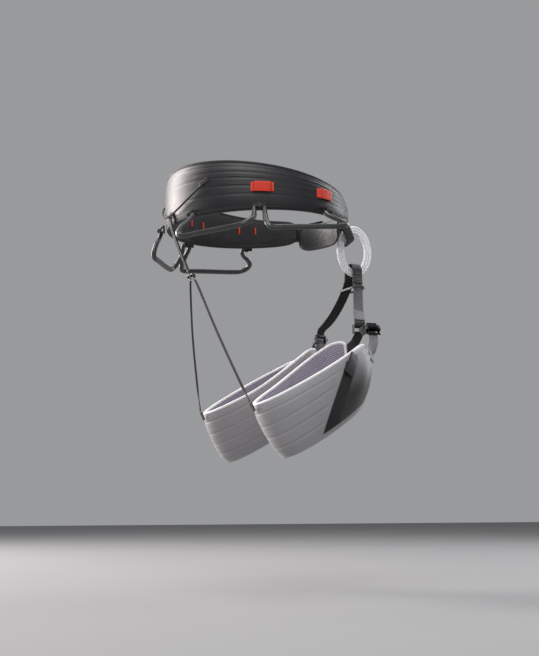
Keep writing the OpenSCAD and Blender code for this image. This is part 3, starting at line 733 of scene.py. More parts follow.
BELT_CLOTH, LEG_CLOTH = 68, 92      # width of the pads' cloth, for its weave
BELT_MESHED, LEG_MESHED = (620, 64), (420, 76)      # steps of the final meshes, along and across
BELT_PUFF, LEG_PUFF = 1.8, 2.2      # most that the simulation moves the cloth
BELT_ROWS = np.linspace(PAD_LEFT, PAD_RIGHT, 150)
BELT_COLS = np.linspace(0, 1, 20)
BELT_BLOWN = pad_pillows("belt_trial", belt_point, BELT_ROWS, BELT_COLS, GROOVES, BELT_PUFF)
LEG_ROWS = np.linspace(LEG_FROM, LEG_TO, 90)
LEG_COLS = np.linspace(0, 1, 21)
LEG_BLOWN = pad_pillows("leg_trial", leg_face, LEG_ROWS, LEG_COLS, LEG_GROOVES, LEG_PUFF)


def belt_skin(phi, v, inner=False):
    phi, v = np.broadcast_arrays(np.asarray(phi, float), np.asarray(v, float))
    p = belt_point(phi, v, inner) + sample(BELT_BLOWN[int(inner)], BELT_ROWS, BELT_COLS, phi, v)
    if inner:
        return p
    fade_out = smooth(from_end(phi) / 18)
    return p - polar(phi, belt_groove(phi, v) * fade_out, 0)


def leg_skin(t, v, inner=False):
    t, v = np.broadcast_arrays(np.asarray(t, float), np.asarray(v, float))
    p = leg_face(t, v, inner) + sample(LEG_BLOWN[int(inner)], LEG_ROWS, LEG_COLS, t, v)
    if inner:
        return p
    return p - leg_out(t) * leg_groove(t, v)[..., None]


def skin_patch(name, skin, rows, cols, lift, thick, side):
    """A thin layer sewn on a skin: rows and cols are grids of its coordinates, and side points out of
    the skin. Its border is turned down so that it sits on the skin."""
    top = skin(rows, cols)
    normal = unit(np.cross(np.gradient(top, axis=0), np.gradient(top, axis=1)))
    if np.sum(normal * side) < 0:
        normal = -normal
    n, m = rows.shape
    i, j = (np.minimum(np.arange(k), np.arange(k)[::-1]) for k in (n, m))
    up = lift + thick * np.minimum(i[:, None], j[None, :]).clip(0, 1)
    return surface(name, top + normal * up[..., None], run_length(top[:, m // 2]), run_length(top[n // 2]))


# ---- waist belt ----
def build_belt():
    phi = end_spaced(PAD_LEFT, PAD_RIGHT, BELT_MESHED[0], 0.55)
    v = np.linspace(0, 1, BELT_MESHED[1])
    around = run_length(polar(phi, BELT_R, 0.0))
    for inner, name, material, slot, nodes in (
            (False, "belt_shell", BELT_FABRIC, "belt_fabric", ("waist_shell", "waist_foam")),
            (True, "belt_liner", BELT_MESH, "belt_mesh", ("waist_liner",))):
        grid = belt_skin(phi[:, None], v[None, :], inner)
        pad = place(surface(name, grid, around, v * BELT_CLOTH), "waist", slot, material, *nodes)
    deep = (EDGE_NEAR + EDGE_FAR) / 2

    def edge(p, at):
        pull = corner(from_end(p), END_ROUND) * TUCK
        z = (low_z(p) + pull + 1.8) if at == 0 else (top_z(p) - pull - 1.8)
        return polar(p, belt_out(p) - deep, z)

    wide = EDGE_FAR - EDGE_NEAR + 2.6
    lower, upper = edge(phi, 0), edge(phi, 1)
    side_l, side_r = (outward(np.full(14, a)) for a in (PAD_LEFT, PAD_RIGHT))
    left = np.linspace(lower[0], upper[0], 16)[1:-1]
    right = np.linspace(upper[-1], lower[-1], 16)[1:-1]
    top_path = np.vstack([left, upper, right])
    top_side = np.vstack([side_l, outward(phi), side_r])
    section = box_section(wide, 5.2, 2.3)
    place(sweep("belt_binding_upper", top_path, top_side, section), "waist", "binding_black",
          BINDING, "waist_binding_top")
    low_section = box_section(wide + 0.4, 7.4, 2.6)
    place(sweep("belt_binding_lower", lower + vec(0, 0, 1.1), outward(phi), low_section), "waist",
          "binding_black", BINDING, "waist_binding_bottom")
    rows = []
    for at, off, push in ((0, 3.6, 0.42), (1, -2.2, 0.0)):
        z = edge(phi, at)[:, 2] + off
        depth = deep - wide / 2 - 0.1 - push * 0.4
        rows.append(stitches(on_belt(phi, -depth, z), outward(phi), wide=0.6))
    sew("belt_binding_stitching", rows, "binding_black", THREAD_DARK)


def build_front_pad():
    """The puffed pad behind the waist buckle."""
    a, b, thick = -8, 32, 8
    phi = end_spaced(a, b, 70, 0.6)
    x = circle(40)
    d = np.minimum(phi - a, b - phi) / TURN
    pull = corner(d, 26) * 0.3
    r = web_r(phi) - WEB_T / 2 - 1.2 - thick / 2
    z0, z1 = -3 + 1.5 * pull, top_z(phi) - 4 - pull
    full = 0.55 + 0.45 * smooth(d / 14) ** 0.6
    out, rise = squarer(np.cos(x), 0.8), squarer(np.sin(x), 0.7)
    grid = polar(phi[:, None], r[:, None] + out[None, :] * (thick / 2 * full)[:, None],
                 ((z0 + z1) / 2)[:, None] + rise[None, :] * ((z1 - z0) / 2)[:, None])
    pad = surface("belt_front_pad", grid, run_length(grid[:, 0]), run_length(grid[35], True),
                  wrap_v=True, caps=True)
    place(pad, "waist", "belt_mesh", BELT_FABRIC, "front_pad")
    rows = []
    for z_off in (-1, 1):
        mid = (z0 + z1) / 2 + z_off * ((z1 - z0) / 2 - 4.5)
        rows.append(stitches(polar(phi[6:-6], (r - thick / 2 * full - 0.1)[6:-6], mid[6:-6]),
                             -outward(phi[6:-6])))
    sew("belt_front_pad_stitching", rows, "binding_black", THREAD_DARK)


def build_waist_webbing():
    phi = np.linspace(WEB_END, WEB_LEFT, 90)
    path = polar(phi, web_r(phi), WEB_Z)
    strap = sweep("belt_webbing", path, vec(0, 0, 1), webbing_section(WEB_W, WEB_T, 20))
    place(strap, "waist", "webbing_grey", WEB_GREY, "waist_webbing")
    phi = np.linspace(32.5, 56.5, 40)
    r = web_r(phi) + WEB_T + 0.25 + 1.6 * smooth((44 - phi) / 10)
    tail = sweep("belt_webbing_tail", polar(phi, r, WEB_Z), vec(0, 0, 1), webbing_section(WEB_W, WEB_T, 20))
    place(tail, "waist", "webbing_grey", WEB_DARK, "waist_strap_tail")
    rows = []
    for at, half in ((WEB_LEFT - 1.0, 10), (WEB_LEFT - 5.5, 10)):
        r = web_r(at) + WEB_T / 2 + 0.1
        rows.append(stitches(zigzag(polar(at, r, WEB_Z - half), polar(at, r, WEB_Z + half),
                                    polar(at + 90, 0.9, 0), 18), outward(at), 1.7, 0.1, 0.7))
    for edge in (-1, 1):
        p = np.linspace(54.5, 56.0, 4)
        rows.append(stitches(polar(p, web_r(p) + WEB_T * 1.5 + 0.35, WEB_Z + edge * 10), outward(p)))
    sew("belt_webbing_stitching", rows, "webbing_grey", THREAD_GREY)


# ---- clip slots ----
def build_slot(name, phi, side):
    half = SLOT_L / 2
    s = np.linspace(-half, half, 61)
    lifted = smooth((half - 3.4 - np.abs(s)) / 2.2)
    a = phi + s * TURN
    r = belt_out(a) + LAY + 1.0 + SLOT_LIFT * lifted + 0.5 * (1 - (s / half) ** 2) * lifted
    path = polar(a, r, SLOT_Z)
    strap = sweep(name + "_webbing", path, vec(0, 0, 1), webbing_section(SLOT_H, 1.3, 16),
                  scale=0.93 + 0.07 * lifted)
    parts = [strap]
    for x in (-half + 2, half - 2):
        b = phi + x * TURN
        q = belt_skin(vec(b, b), vec(0.45, 0.45), True)[0]
        depth = math.hypot(q[0], q[1]) - 0.3
        z = np.linspace(SLOT_Z - 6, SLOT_Z + 6, 12)
        parts.append(sweep("bar", polar(np.full(12, b), depth, z), outward(b + 90),
                           webbing_section(2.4, 1.6, 6)))
    rows = []
    for sign in (-1, 1):
        for off in (1.1, 2.7):
            b = phi + sign * (half - off) * TURN
            rr = belt_out(b) + LAY + 1.0 + 0.62
            line = zigzag(polar(b, rr, SLOT_Z - 6), polar(b, rr, SLOT_Z + 6), polar(b + 90, 0.55, 0), 14)
            rows.append(stitches(line, outward(b), 1.5, 0.1, 0.55))
    place(sided(join(name + "_webbing", parts), side), "waist", "webbing_red", WEB_RED, name)
    sew(name + "_stitching", rows, "webbing_red", THREAD_RED, side=side)


# ---- gear loops ----
FRONT_SHAPE = [(0.042, 1, 1), (0.038, 4.5, 4.5), (-0.01, 9, 9), (-0.10, 13.5, 13.5), (-0.168, 20, 19),
               (-0.158, 28, 24), (-0.084, 33.5, 28), (0.03, 35, 30), (0.25, 34, 31.5), (0.5, 32, 33),
               (0.75, 30, 34.5), (0.91, 28.5, 36), (0.99, 27, 34.5), (1.015, 22, 28), (1.00, 13, 18),
               (0.972, 4.5, 8), (0.958, 1, 1)]
REAR_SHAPE = [(0.042, 1, 1), (0.025, 4.5, 9), (0.00, 10, 20), (0.01, 18, 30), (0.07, 23.5, 37),
              (0.18, 24.5, 40.5), (0.5, 20.5, 41.5), (0.8, 16, 41.5), (0.97, 13.5, 42), (1.08, 12.5, 40.5),
              (1.12, 10.5, 34), (1.08, 7.5, 22), (1.00, 4.5, 11.5), (0.97, 2.5, 5), (0.958, 1, 1)]
LOOP_SWELL = 1.2                    # how much thicker a loop is in its middle
FRONT_LIFT = {"right": 0, "left": -5}
REAR_LIFT = {"right": 14, "left": -8}


def pivot(q):
    return on_belt(q[0], PIVOT_OFF, q[1])


def ridged_section(d):
    """The moulded loop's outline, with four shallow grooves along it."""
    a = circle(48)
    r = np.full(48, d / 2)
    for g in np.radians([38, 142, 218, 322]):
        away = np.angle(np.exp(1j * (a - g)))
        r = r - d * 0.06 * np.exp(-(away / 0.24) ** 2)
    return np.stack([np.cos(a), np.sin(a)], axis=1) * r[:, None]


def build_gear_loop(name, pivots, shape, lift, side):
    a, b = pivot(pivots[0]), pivot(pivots[1])
    u = unit(b - a)
    out = unit(np.cross(u, vec(0, 0, 1)))
    c, s = math.cos(math.radians(lift)), math.sin(math.radians(lift))
    pts = [a + (b - a) * q[0] + out * (q[1] * c + q[2] * s) - vec(0, 0, q[2] * c - q[1] * s) for q in shape]
    body = spline(pts, 8)
    path = np.vstack([[a - u * STUB, a + u * STUB_OUT * 0.5, a + u * STUB_OUT], body,
                      [b - u * STUB_OUT, b - u * STUB_OUT * 0.5, b + u * STUB]])
    run = run_length(path)
    away = np.minimum(run, run[-1] - run) - STUB - STUB_OUT
    size = mix(mix(STUB_D, LOOP_D, smooth(away / 7)), LOOP_D + LOOP_SWELL, smooth((away - 14) / 16))
    loop = sweep(name + "_moulding", path, carried(path, out), ridged_section(1), scale=size)
    place(sided(loop, side), name, "loop_plastic", LOOP_PLASTIC, name)


def tab_strap(at, axis, wide):
    """Webbing that comes down the belt, goes round a loop's stub and back up in front."""
    out = unit(vec(at[0], at[1], 0))
    away = -PIVOT_OFF + 1.4
    hug = STUB_D / 2 + 1.2
    turns = [(hug * math.cos(x), hug * math.sin(x)) for x in np.radians(np.linspace(-160, 100, 15))]
    line = [(away + 0.4, 9), (away + 0.4, 4.5), (away + 0.9, -0.6)] + turns
    line += [(-2.6, 6.2), (-4.1, 6.75), (-4.7, 9)]
    path = spline([at + out * x + vec(0, 0, z) for x, z in line], 3)
    return sweep("tab", path, unit(axis), webbing_section(wide, 1.1, 8))


def build_tabs(side):
    f, r = [pivot(q) for q in FRONT_PIVOTS], [pivot(q) for q in REAR_PIVOTS]
    straps, rows = [], []
    for at, axis, wide in ((f[0] - unit(f[1] - f[0]) * 2.4, f[1] - f[0], 4.8),
                           ((f[1] + r[0]) / 2, r[0] - f[1], 6.2),
                           (r[1] + unit(r[1] - r[0]) * 2.4, r[1] - r[0], 4.8)):
        straps.append(tab_strap(at, unit(axis), wide))
    for phi, wide, low, high in ((FRONT_PHI - 1.2, 13, 4.5, 16), (REAR_PHI + 1.7, 22, -0.5, 11.5),
                                 (157.4, 13, -2, 9)):
        a = phi + np.linspace(-wide / 2, wide / 2, 17) * TURN
        path = on_belt(a, 1.9, (low + high) / 2)
        straps.append(sweep("cover", path, vec(0, 0, 1), webbing_section(high - low, 1.3, 10)))
        for z in (low + 2, high - 2):
            b = phi + np.linspace(-wide / 2 + 1.5, wide / 2 - 1.5, 9) * TURN
            rows.append(stitches(on_belt(b, 2.55, z), outward(b), 2.2, 0.8, 0.6))
    tabs = sided(join("gear_tab_webbing_" + side, straps), side)
    place(tabs, "waist", "webbing_black", WEB_BLACK, "gear_tabs_" + side)
    sew("gear_tab_stitching_" + side, rows, "webbing_black", THREAD_DARK, side=side)


# ---- haul loop and risers ----
def build_back():
    half = [(150.5, 1.6, 42), (153, 2.6, 38), (158, 3.2, 30),
            (165, 3.8, 20), (172, 4.8, 12.5), (178, 5.6, 9.5)]
    d = 3.2
    pts = [on_belt(p, o + d / 2, z) for p, o, z in half]
    path = spline(pts + [mirror(q) for q in pts[::-1]], 9)
    loop = sweep("haul_loop_cord", path, carried(path, vec(0.1, 1, 0.12)), round_section(d, 16))
    place(loop, "haul_loop", "cord_black", CORD, "haul_loop")
    tabs, rows = [], []
    for phi in (149.5, 210.5):
        away = 1 if phi < 180 else -1
        a = phi + np.linspace(-3.6, 2.6, 9) * away
        z = 48 + np.linspace(3.5, -3.5, 9)
        tabs.append(sweep("tab", on_belt(a, 1.3, z), vec(0, 0, 1), webbing_section(7, 1.5, 8)))
        for off in (-2.2, 2.2):
            rows.append(stitches(on_belt(a[1:-1], 2.1, z[1:-1] + off), outward(a[1:-1]), 1.8, 0.6, 0.55))
    place(join("haul_loop_webbing_tabs", tabs), "waist", "webbing_black", WEB_BLACK, "haul_loop_tabs")
    sew("haul_loop_tab_stitching", rows, "webbing_black", THREAD_DARK)
    line = [(0, 143.8, 16), (0, 143.8, 1), (0, 140, -12), (0, 131, -34), (0, 120, -58), (0, 113.4, -73)]
    path = spline(line, 10)
    strap = sweep("riser_webbing", path, vec(1, 0, 0), webbing_section(9.5, 3.0, 12, ridges=2, ridge=0.25))
    place(strap, "waist", "webbing_black", WEB_BLACK, "riser_strap")
    rows = [stitches(zigzag((-3.4, 145.5, 4 + k * 5), (3.4, 145.5, 4 + k * 5), (0, 0, 0.9), 9),
                     vec(0, 1, 0), 1.7, 0.1, 0.6) for k in range(2)]
    sew("riser_stitching", rows, "webbing_black", THREAD_DARK)


def build_hook():
    """The small bar that the elastics hook on: a rounded plate with two slots."""
    at = vec(0, 111, -74.5)
    lean = math.radians(-26)
    up = vec(0, -math.sin(lean), math.cos(lean))
    mid = at - up * 4.75
    ring = []
    for x0 in (-5.9, 5.9):
        a = circle(32)[:, None]
        path = mid + vec(1, 0, 0) * (x0 + 4.4 * squarer(np.cos(a), 0.5)) + up * 2.9 * squarer(np.sin(a), 0.5)
        ring.append(sweep("ring", path, unit(np.cross(up, vec(1, 0, 0))), box_section(4.2, 2.4, 1.0),
                          closed=True))
    place(join("riser_hook_moulding", ring), "waist", "loop_plastic", HOOK_PLASTIC, "riser_hook")


def elastic_path():
    end = leg_pt(0, ON_PAD, -6.6)
    return spline([(6.5, 106.8, -84.6), (14, 104, -95), (42, 88, -160), (70, 68, -228), end], 14)


def build_elastic(side):
    path = elastic_path()
    share = np.linspace(0, 1, len(path))[:, None]
    across = mix(vec(0.35, -0.9, 0.1), vec(0.95, 0.2, 0.1), smooth((share - 0.75) / 0.25))
    if side == "right":
        path, across = mirror(path), mirror(across)
    strap = sweep("riser_elastic_band_" + side, path, across, webbing_section(3.8, 1.6, 10))
    strap.data.materials.append(ELASTIC)
    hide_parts("riser_elastic_" + side)
    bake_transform(strap)
    t = leg_pt(0, ON_PAD, vec(9, 6, 3, -1, -4.5))
    tab = sweep("riser_tab_webbing_" + side, spline(t, 5), vec(1, 0, 0), webbing_section(9, 1.5, 10))
    place(sided(tab, side), "leg_" + side, "webbing_black", WEB_BLACK, "leg_riser_tab_" + side)


# ---- belay loop ----
def build_belay_loop():
    high, long, band, thick = 85, 65, 13, 6
    a = circle(160)
    mid = vec(0, -180, -10.5)
    ry, rz = (long - band) / 2, (high - band) / 2
    path = mid + np.stack([0 * a, ry * np.cos(a), rz * np.sin(a)], axis=1)
    x = np.linspace(-1, 1, 41)
    body = thick / 2 * (1 - 0.5 * np.abs(x) ** 8)
    ridge = 0.5 * (1 + np.cos(3 * np.pi * (x + 1) - np.pi))
    half = body * (0.70 + 0.30 * ridge)
    upper = np.stack([half, x * band / 2], axis=1)
    section = np.vstack([upper, upper[::-1] * [-1, 1]])
    loop = sweep("belay_loop_webbing", path, vec(1, 0, 0), section, closed=True)
    place(loop, "belay_loop", "webbing_white", WEB_WHITE, "belay_loop")
    rows = []
    for sign in (-1, 1):
        for off in (-band / 6, band / 6):
            part = slice(8, 34)
            o = unit(np.stack([0 * a, rz * np.cos(a), ry * np.sin(a)], axis=1))
            p = path + o * off + vec(sign * thick * 0.35, 0, 0)
            rows.append(stitches(p[part], vec(sign, 0, 0), 2.4, 0.9, 0.6))
    sew("belay_loop_stitching", rows, "webbing_white", THREAD_LIGHT, "belay_loop")


# ---- tie-in loop and bridge ----
def build_tie_in():
    half, wide, thick = 12, 16, 2
    tip, reach = vec(0, -170.2, 1.5), 7
    direction = unit(vec(0, -0.62, -0.78))
    across = unit(np.cross(vec(1, 0, 0), direction))

    def face_y(s):
        r = web_r(s * 4.7) + WEB_T / 2 + 0.5
        return -math.sqrt(r * r - half * half)

    def leg_of(s):
        return [vec(s * half, y, z) for y, z in ((face_y(s), 27), (-153.5, 27), (-158, 23.5), (-162.5, 14.5))]

    turn = [tip + vec(-half * math.sin(x), 0, 0) + direction * reach * (math.cos(x) - 1)
            for x in np.radians(np.arange(-90, 91, 22.5))]
    points = leg_of(1) + turn + leg_of(-1)[::-1]
    n = len(points) - 1
    sides = []
    for i in range(n + 1):
        k = min(i, n - i)
        sides.append(vec(0, 0.1 * k, -1) if k < 2 else vec(0, 0.6, -0.8) if k == 2 else across)
    strap = sweep("tie_in_webbing", spline(points, 6), spline(sides, 6), webbing_section(wide, thick, 16))
    place(strap, "waist", "webbing_grey", WEB_DARK, "upper_tie_in_loop")


BRIDGE_HALF = [(0, -178, -32.6), (7, -178, -33.6), (11, -178, -38.5), (12, -178, -48), (13, -177.5, -60),
               (20, -174.5, -76), (29, -169, -95), (39, -163, -112), (50, -157, -125.5), (59, -152.3, -133.5)]
SLEEVE_D = 7.4


def bridge_path():
    half = spline(BRIDGE_HALF + [tuple(JOINT_AT + vec(0, 0, 6.5))], 7)
    half = np.vstack([half, [JOINT_AT + vec(0, 0, SLEEVE_D / 2 - 0.4)]])
    return np.vstack([mirror(half[:0:-1]), half])


def bridge_side(k):
    s = smooth((np.abs(k) - 0.7) / 0.28)
    return np.stack([np.where(k > 0, s, -s) * PIN_DIR[0], mix(-1, PIN_DIR[1], s), 0 * k], axis=1)


def along_bridge(side, z_from, z_to, lift, n=24):
    """The stretch of one falling strap between two heights, lifted off its outer face."""
    path = bridge_path()
    mid = len(path) // 2
    half = path[mid:]
    k = np.linspace(0, 1, len(half))
    z = np.linspace(z_from, z_to, n)
    share = np.interp(-z, -half[:, 2], k)
    p = np.stack([np.interp(share, k, half[:, c]) for c in range(3)], axis=1)
    s = bridge_side(np.maximum(share, 1e-6))
    out = -unit(np.cross(tangents(p), s))
    if np.mean(out[:, 0]) < 0:
        out = -out
    p = p + out * lift
    if side == "right":
        p, s, out = mirror(p), mirror(s), mirror(out)
    return p, s, out


def build_bridge():
    path = bridge_path()
    n = len(path) - 1
    k = (np.arange(n + 1) - n / 2) / (n / 2)
    strap = sweep("bridge_strap", path, bridge_side(k), webbing_section(STRAP_W, STRAP_T, 18))
    a = circle(24)
    sleeves = []
    for sign in (-1, 1):
        pin = PIN_DIR * vec(sign, 1, 1)
        square = np.cross(vec(0, 0, 1), pin)
        ring = (square * np.cos(a)[:, None] + vec(0, 0, 1) * np.sin(a)[:, None]) * (SLEEVE_D / 2 - 0.8)
        sleeves.append(sweep("sleeve", ring + JOINT_AT * vec(sign, 1, 1), pin,
                             webbing_section(STRAP_W, 1.3, 14), closed=True))
    place(join("bridge_strap", [strap] + sleeves), "waist", "webbing_grey", WEB_GREY, "bridge_webbing")
    layers, ends, tacks = [], [], []
    for side in SIDES:
        p, s = along_bridge(side, -41, -67, STRAP_T + 0.25)[:2]
        layers.append(sweep("layer", p, s, webbing_section(STRAP_W - 0.4, STRAP_T, 16)))
        for z in (-50, -55, -60):
            q, _, o = along_bridge(side, z, z - 0.5, STRAP_T * 1.5 + 0.4, 2)
            line = zigzag(q[0] + vec(0, -6.6, 0), q[0] + vec(0, 6.6, 0), vec(0, 0, 1.1), 16)
            tacks.append(stitches(line, o[0], 2.3, 0.05, 0.7))
        p, s = along_bridge(side, -119, -136, STRAP_T * 0.9 + 0.2)[:2]
        ends.append(sweep("end", p, s, webbing_section(STRAP_W - 0.6, STRAP_T, 16)))
    place(join("bridge_sewn_layers", layers), "waist", "webbing_grey", WEB_DARK)
    place(join("bridge_sewn_ends", ends), "waist", "webbing_grey", WEB_PALE)
    place(join("bridge_bar_tacks", tacks), "waist", "thread_white", THREAD_GREY, "bridge_tacks")


def build_keeper():
    """The elastic that holds the two falls of the bridge strap together."""
    half, front, back, z = 23.0, -187.0, -164.0, -74
    a = circle(96)
    x = half * squarer(np.cos(a), 0.35)
    y = (front + back) / 2 + (back - front) / 2 * squarer(np.sin(a), 0.35)
    path = np.stack([x, y, z + 0.8 * np.cos(2 * a)], axis=1)
    band = sweep("bridge_keeper_elastic", path, vec(0, 0, 1), webbing_section(3.6, 1.3, 8), closed=True)
    place(band, "waist", "elastic_black", ELASTIC, "bridge_keeper")


# ---- leg loops ----
def build_leg(side):
    body = "leg_" + side
    t = end_spaced(LEG_FROM, LEG_TO, LEG_MESHED[0], 0.6)
    v = np.linspace(0, 1, LEG_MESHED[1])
    around = run_length(leg_pt(t, 0, 40))
    for inner, name, material, slot, nodes in (
            (False, "leg_pad_shell_", LEG_FABRIC, "leg_fabric", ("leg_shell_", "leg_foam_")),
            (True, "leg_pad_liner_", LEG_MESH, "leg_mesh", ("leg_liner_",))):
        grid = leg_skin(t[:, None], v[None, :], inner)
        pad = sided(surface(name + side, grid, around, v * LEG_CLOTH), side)
        place(pad, body, slot, material, *(q + side for q in nodes))
    deep = (EDGE_NEAR + EDGE_FAR) / 2 - 0.5
    upper = leg_pt(t, deep, leg_reach(t, 0.0 * t) + 0.2)
    lower = leg_pt(t, deep, leg_reach(t, 0.0 * t + 1) - 0.2)
    tip = np.linspace(0, 1, 26)[1:-1]
    start, end = np.full(24, float(LEG_FROM)), np.full(24, float(LEG_TO))
    wide = EDGE_FAR - EDGE_NEAR + 1.2
    upper_path = np.vstack([leg_pt(start, deep, leg_reach(start, tip))[::-1], upper,
                            leg_pt(end, deep, leg_reach(end, tip))])
    upper_side = np.vstack([leg_out(start), leg_out(t), leg_out(end)])
    rim_piece = sweep("leg_rim_" + side, upper_path, upper_side, box_section(wide, 4.6, 2.2))
    place(sided(rim_piece, side), body, "leg_fabric", RIM_WHITE, "leg_binding_" + side)
    hem = sweep("leg_hem_" + side, lower, leg_out(t), box_section(wide, 5.4, 2.5))
    place(sided(hem, side), body, "leg_fabric", LEG_FABRIC)
    t = t[8:-8]
    rows = [stitches(leg_skin(t, at) + leg_out(t) * 0.3, leg_out(t), 2.2, 1.2, 0.5) for at in (0.055, 0.95)]
    sew("leg_edge_stitching_" + side, rows, "leg_fabric", THREAD_LIGHT, body, side)
    build_leg_trim(side, body)


def build_leg_trim(side, body):
    rows, cols = np.meshgrid(np.linspace(0, 1, 40), np.linspace(0.075, 0.95, 90), indexing="ij")
    t = mix(stripe_t(cols, True), stripe_t(cols, False), rows)
    stripe = skin_patch("leg_stripe_cloth_" + side, leg_skin, t, cols, 0.15, 0.55, leg_out(t))
    place(sided(stripe, side), body, "webbing_black", BINDING, "leg_stripe_" + side)
    rows, cols = np.meshgrid(np.linspace(0, 1, 70), np.linspace(0.06, 0.955, 90), indexing="ij")
    t = mix(stripe_t(cols, False) - 0.6, LEG_TO - 1.5 - 3 * cols, rows)
    panel = skin_patch("leg_panel_cloth_" + side, leg_skin, t, cols, 0.1, 0.4, leg_out(t))
    place(sided(panel, side), body, "leg_fabric", LEG_PANEL, "leg_panel_" + side)
    v = np.linspace(0.09, 0.94, 60)
    edge = leg_skin(stripe_t(v, True) + 0.9, v) + leg_out(stripe_t(v, True)) * 0.8
    seam = stitches(edge, leg_out(stripe_t(v, True)), 2.2, 1.1, 0.5)
    sew("leg_stripe_stitching_" + side, [seam], "webbing_black", THREAD_DARK, body, side)
    turn = [(120, 0.06), (117.5, 0.09), (114.5, 0.135), (110.5, 0.19), (106.5, 0.25)]
    t, v = (np.array(x, float) for x in zip(*turn))
    flat = leg_skin(t, v) + leg_out(t) * 1.5
    fold = flat[-1] + leg_out(t[-1:])[0] * 2.2 + unit(flat[-1] - flat[-2]) * 2.4
    back = leg_skin(t[::-1], v[::-1]) + leg_out(t[::-1]) * vec(4.2, 4.4, 4.2, 3.6, 3.0)[:, None]
    path = spline(np.vstack([flat, [fold], back]), 5)
    across = unit(np.cross(leg_out(t), tangents(flat)))
    across = np.vstack([across, across[-1:], across[::-1]])
    tab = sweep("leg_keeper_webbing_" + side, path, spline(across, 5), webbing_section(16, 1.5, 12))
    place(sided(tab, side), body, "webbing_black", WEB_BLACK, "leg_keeper_" + side)


def build_leg_straps(side):
    ct, st, cy, sy = (f(x) for x in (BUCKLE_TURN, BUCKLE_YAW) for f in (math.cos, math.sin))
    along, out, over = vec(ct * cy, ct * sy, -st), vec(st * cy, st * sy, ct), vec(sy, -cy, 0)
    under = BUCKLE_AT - out * (STRAP_T / 2 + 0.9)
    outer_path = [JOINT_AT + vec(1.4, 0, -RING_DROP - 0.4), under - along * 11, under, under + along * 11,
                  (92.5, -157, -172.5), (97.5, -151.5, -182.5),
                  leg_pt(153, ON_PAD, 26), leg_pt(149, ON_PAD, 36)]
    outer_side = [PIN_DIR, over, over, over, (0.25, -0.95, 0.1), (-0.1, -0.95, 0.2), (-0.6, -0.7, 0.3),
                  (-0.7, -0.6, 0.34)]
    inner_path = [JOINT_AT + vec(-1.4, 0, -RING_DROP - 0.4), (56, -149.8, -163), (50, -146.5, -172),
                  leg_pt(-147, ON_PAD, 25), leg_pt(-140, ON_PAD, 30)]
    inner_side = [PIN_DIR, (0.35, -0.85, -0.3), (0.35, -0.4, -0.85), (0.2, 0.2, -1), (0, 0.2, -1)]
    section = webbing_section(STRAP_W - 3, STRAP_T, 16)
    for which, path, across, slot, material in (
            ("outer", outer_path, outer_side, "webbing_grey", WEB_PALE),
            ("inner", inner_path, inner_side, "webbing_black", WEB_BLACK)):
        strap = sweep(f"leg_{which}_webbing_{side}", spline(path, 9), spline(across, 9), section)
        place(sided(strap, side), "leg_" + side, slot, material, f"leg_{which}_strap_{side}")


WELD = 1e-5                         # metres between corners of a CAD mesh that are one
SHARP = math.radians(35)            # edges at least this sharp are rounded


def bevel_cad(node, material, width):
    """Keeps a CAD node, with its edges rounded and a better material."""
    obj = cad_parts[node]
    for s in obj.material_slots:
        s.material = material
    if not obj.material_slots:
        obj.data.materials.append(material)
    weld = obj.modifiers.new("weld", "WELD")
    weld.merge_threshold = WELD
    bevel = obj.modifiers.new("bevel", "BEVEL")
    bevel.width = width * MM
    bevel.segments = 3
    bevel.limit_method = "ANGLE"
    bevel.angle_limit = SHARP
    obj.modifiers.new("normals", "WEIGHTED_NORMAL")


def build_hardware():
    for name in ("waist_buckle_frame", "waist_buckle_slider"):
        bevel_cad(name, BUCKLE, 0.6)
    for side in SIDES:
        bevel_cad("leg_buckle_frame_" + side, BUCKLE, 0.5)
        bevel_cad("leg_buckle_slider_" + side, BUCKLE, 0.5)
        bevel_cad("leg_ring_" + side, STEEL, 0.4)


# ---- stage ----
FLOOR_Z, FLOOR_HALF = -550, 6000


def build_stage():
    mesh = bpy.data.meshes.new("floor")
    far, z = FLOOR_HALF * MM, FLOOR_Z * MM
    mesh.from_pydata([(-far, -far, z), (far, -far, z), (far, far, z), (-far, far, z)], [], [(0, 1, 2, 3)])
    floor = in_scene("floor", mesh)
    g = Graph("floor", (0.25, 0.25, 0.255), 0.85, specular=0.1)
    g.set("Base Color", g.blend(g.noise(3.0, 3.0), (0.24, 0.24, 0.245), (0.26, 0.26, 0.265)))
    mesh.materials.append(g.mat)
    world = bpy.data.worlds.new("studio")
    world.use_nodes = True
    back = world.node_tree.nodes["Background"]
    back.inputs[0].default_value = (0.80, 0.81, 0.83, 1)
    back.inputs[1].default_value = 0.40
    bpy.context.scene.world = world
    bpy.context.scene.view_settings.view_transform = "Standard"


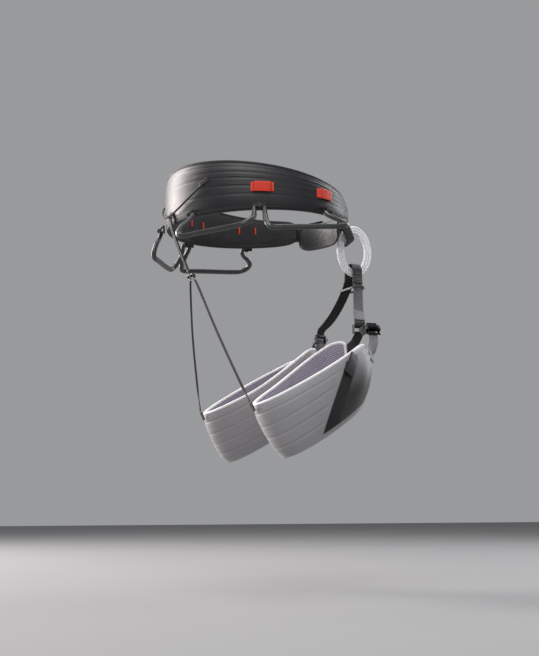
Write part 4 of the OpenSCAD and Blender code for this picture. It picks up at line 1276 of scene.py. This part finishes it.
def area_light(name, at, size, power, colour=(1, 1, 1)):
    data = bpy.data.lights.new(name, "AREA")
    data.shape = "RECTANGLE"
    data.size, data.size_y = size[0] * MM, size[1] * MM
    data.energy = power
    data.color = colour
    lamp = in_scene(name, data)
    lamp.location = Vector(at) * MM
    lamp.rotation_euler = (Vector((0, 0, -150)) * MM - lamp.location).to_track_quat("-Z", "Y").to_euler()


AZIMUTH, ELEVATION, DISTANCE, LENS = math.radians(-117), math.radians(-9), 1750, 61.96
TARGET = vec(-9.9, -19.3, -150)       # middle of the harness as the camera sees it
LEVEL = math.cos(ELEVATION)
BACK = vec(math.sin(AZIMUTH) * LEVEL, -math.cos(AZIMUTH) * LEVEL, math.sin(ELEVATION))


def build_camera():
    data = bpy.data.cameras.new("camera")
    data.sensor_width = 36
    data.lens = LENS
    cam = in_scene("camera", data)
    cam.location = Vector((TARGET + BACK * DISTANCE) * MM)
    cam.rotation_mode = "QUATERNION"
    cam.rotation_quaternion = Vector(-BACK).to_track_quat("-Z", "Y")
    bpy.context.scene.camera = cam


def build_lights():
    right = unit(np.cross(vec(0, 0, 1), BACK))
    up = vec(0, 0, 1)

    def at(toward, sideways, high):
        return TARGET + BACK * toward + right * sideways + up * high

    area_light("key", at(2000, -550, 2500), (2000, 2000), 56)
    area_light("rim_left", at(-1100, -2200, 700), (1100, 2400), 150, (1.0, 0.92, 0.90))
    area_light("rim_right", at(-1500, 2000, 1000), (1100, 2200), 36, (0.95, 0.97, 1.0))
    area_light("fill", at(3000, 1500, 700), (2600, 2600), 15)
    area_light("top", at(-200, 0, 3200), (1500, 2600), 55)


build_camera()
build_stage()
build_lights()
build_belt()
build_front_pad()
build_waist_webbing()
for name, phi in (("front_slot", FRONT_PHI), ("rear_slot", REAR_PHI)):
    for side in SIDES:
        build_slot(f"{name}_{side}", phi, side)
for side in SIDES:
    build_gear_loop("front_gear_loop_" + side, FRONT_PIVOTS, FRONT_SHAPE, FRONT_LIFT[side], side)
    build_gear_loop("rear_gear_loop_" + side, REAR_PIVOTS, REAR_SHAPE, REAR_LIFT[side], side)
    build_tabs(side)
    build_elastic(side)
    build_leg(side)
    build_leg_straps(side)
build_back()
build_hook()
build_belay_loop()
build_tie_in()
build_bridge()
build_keeper()
build_hardware()
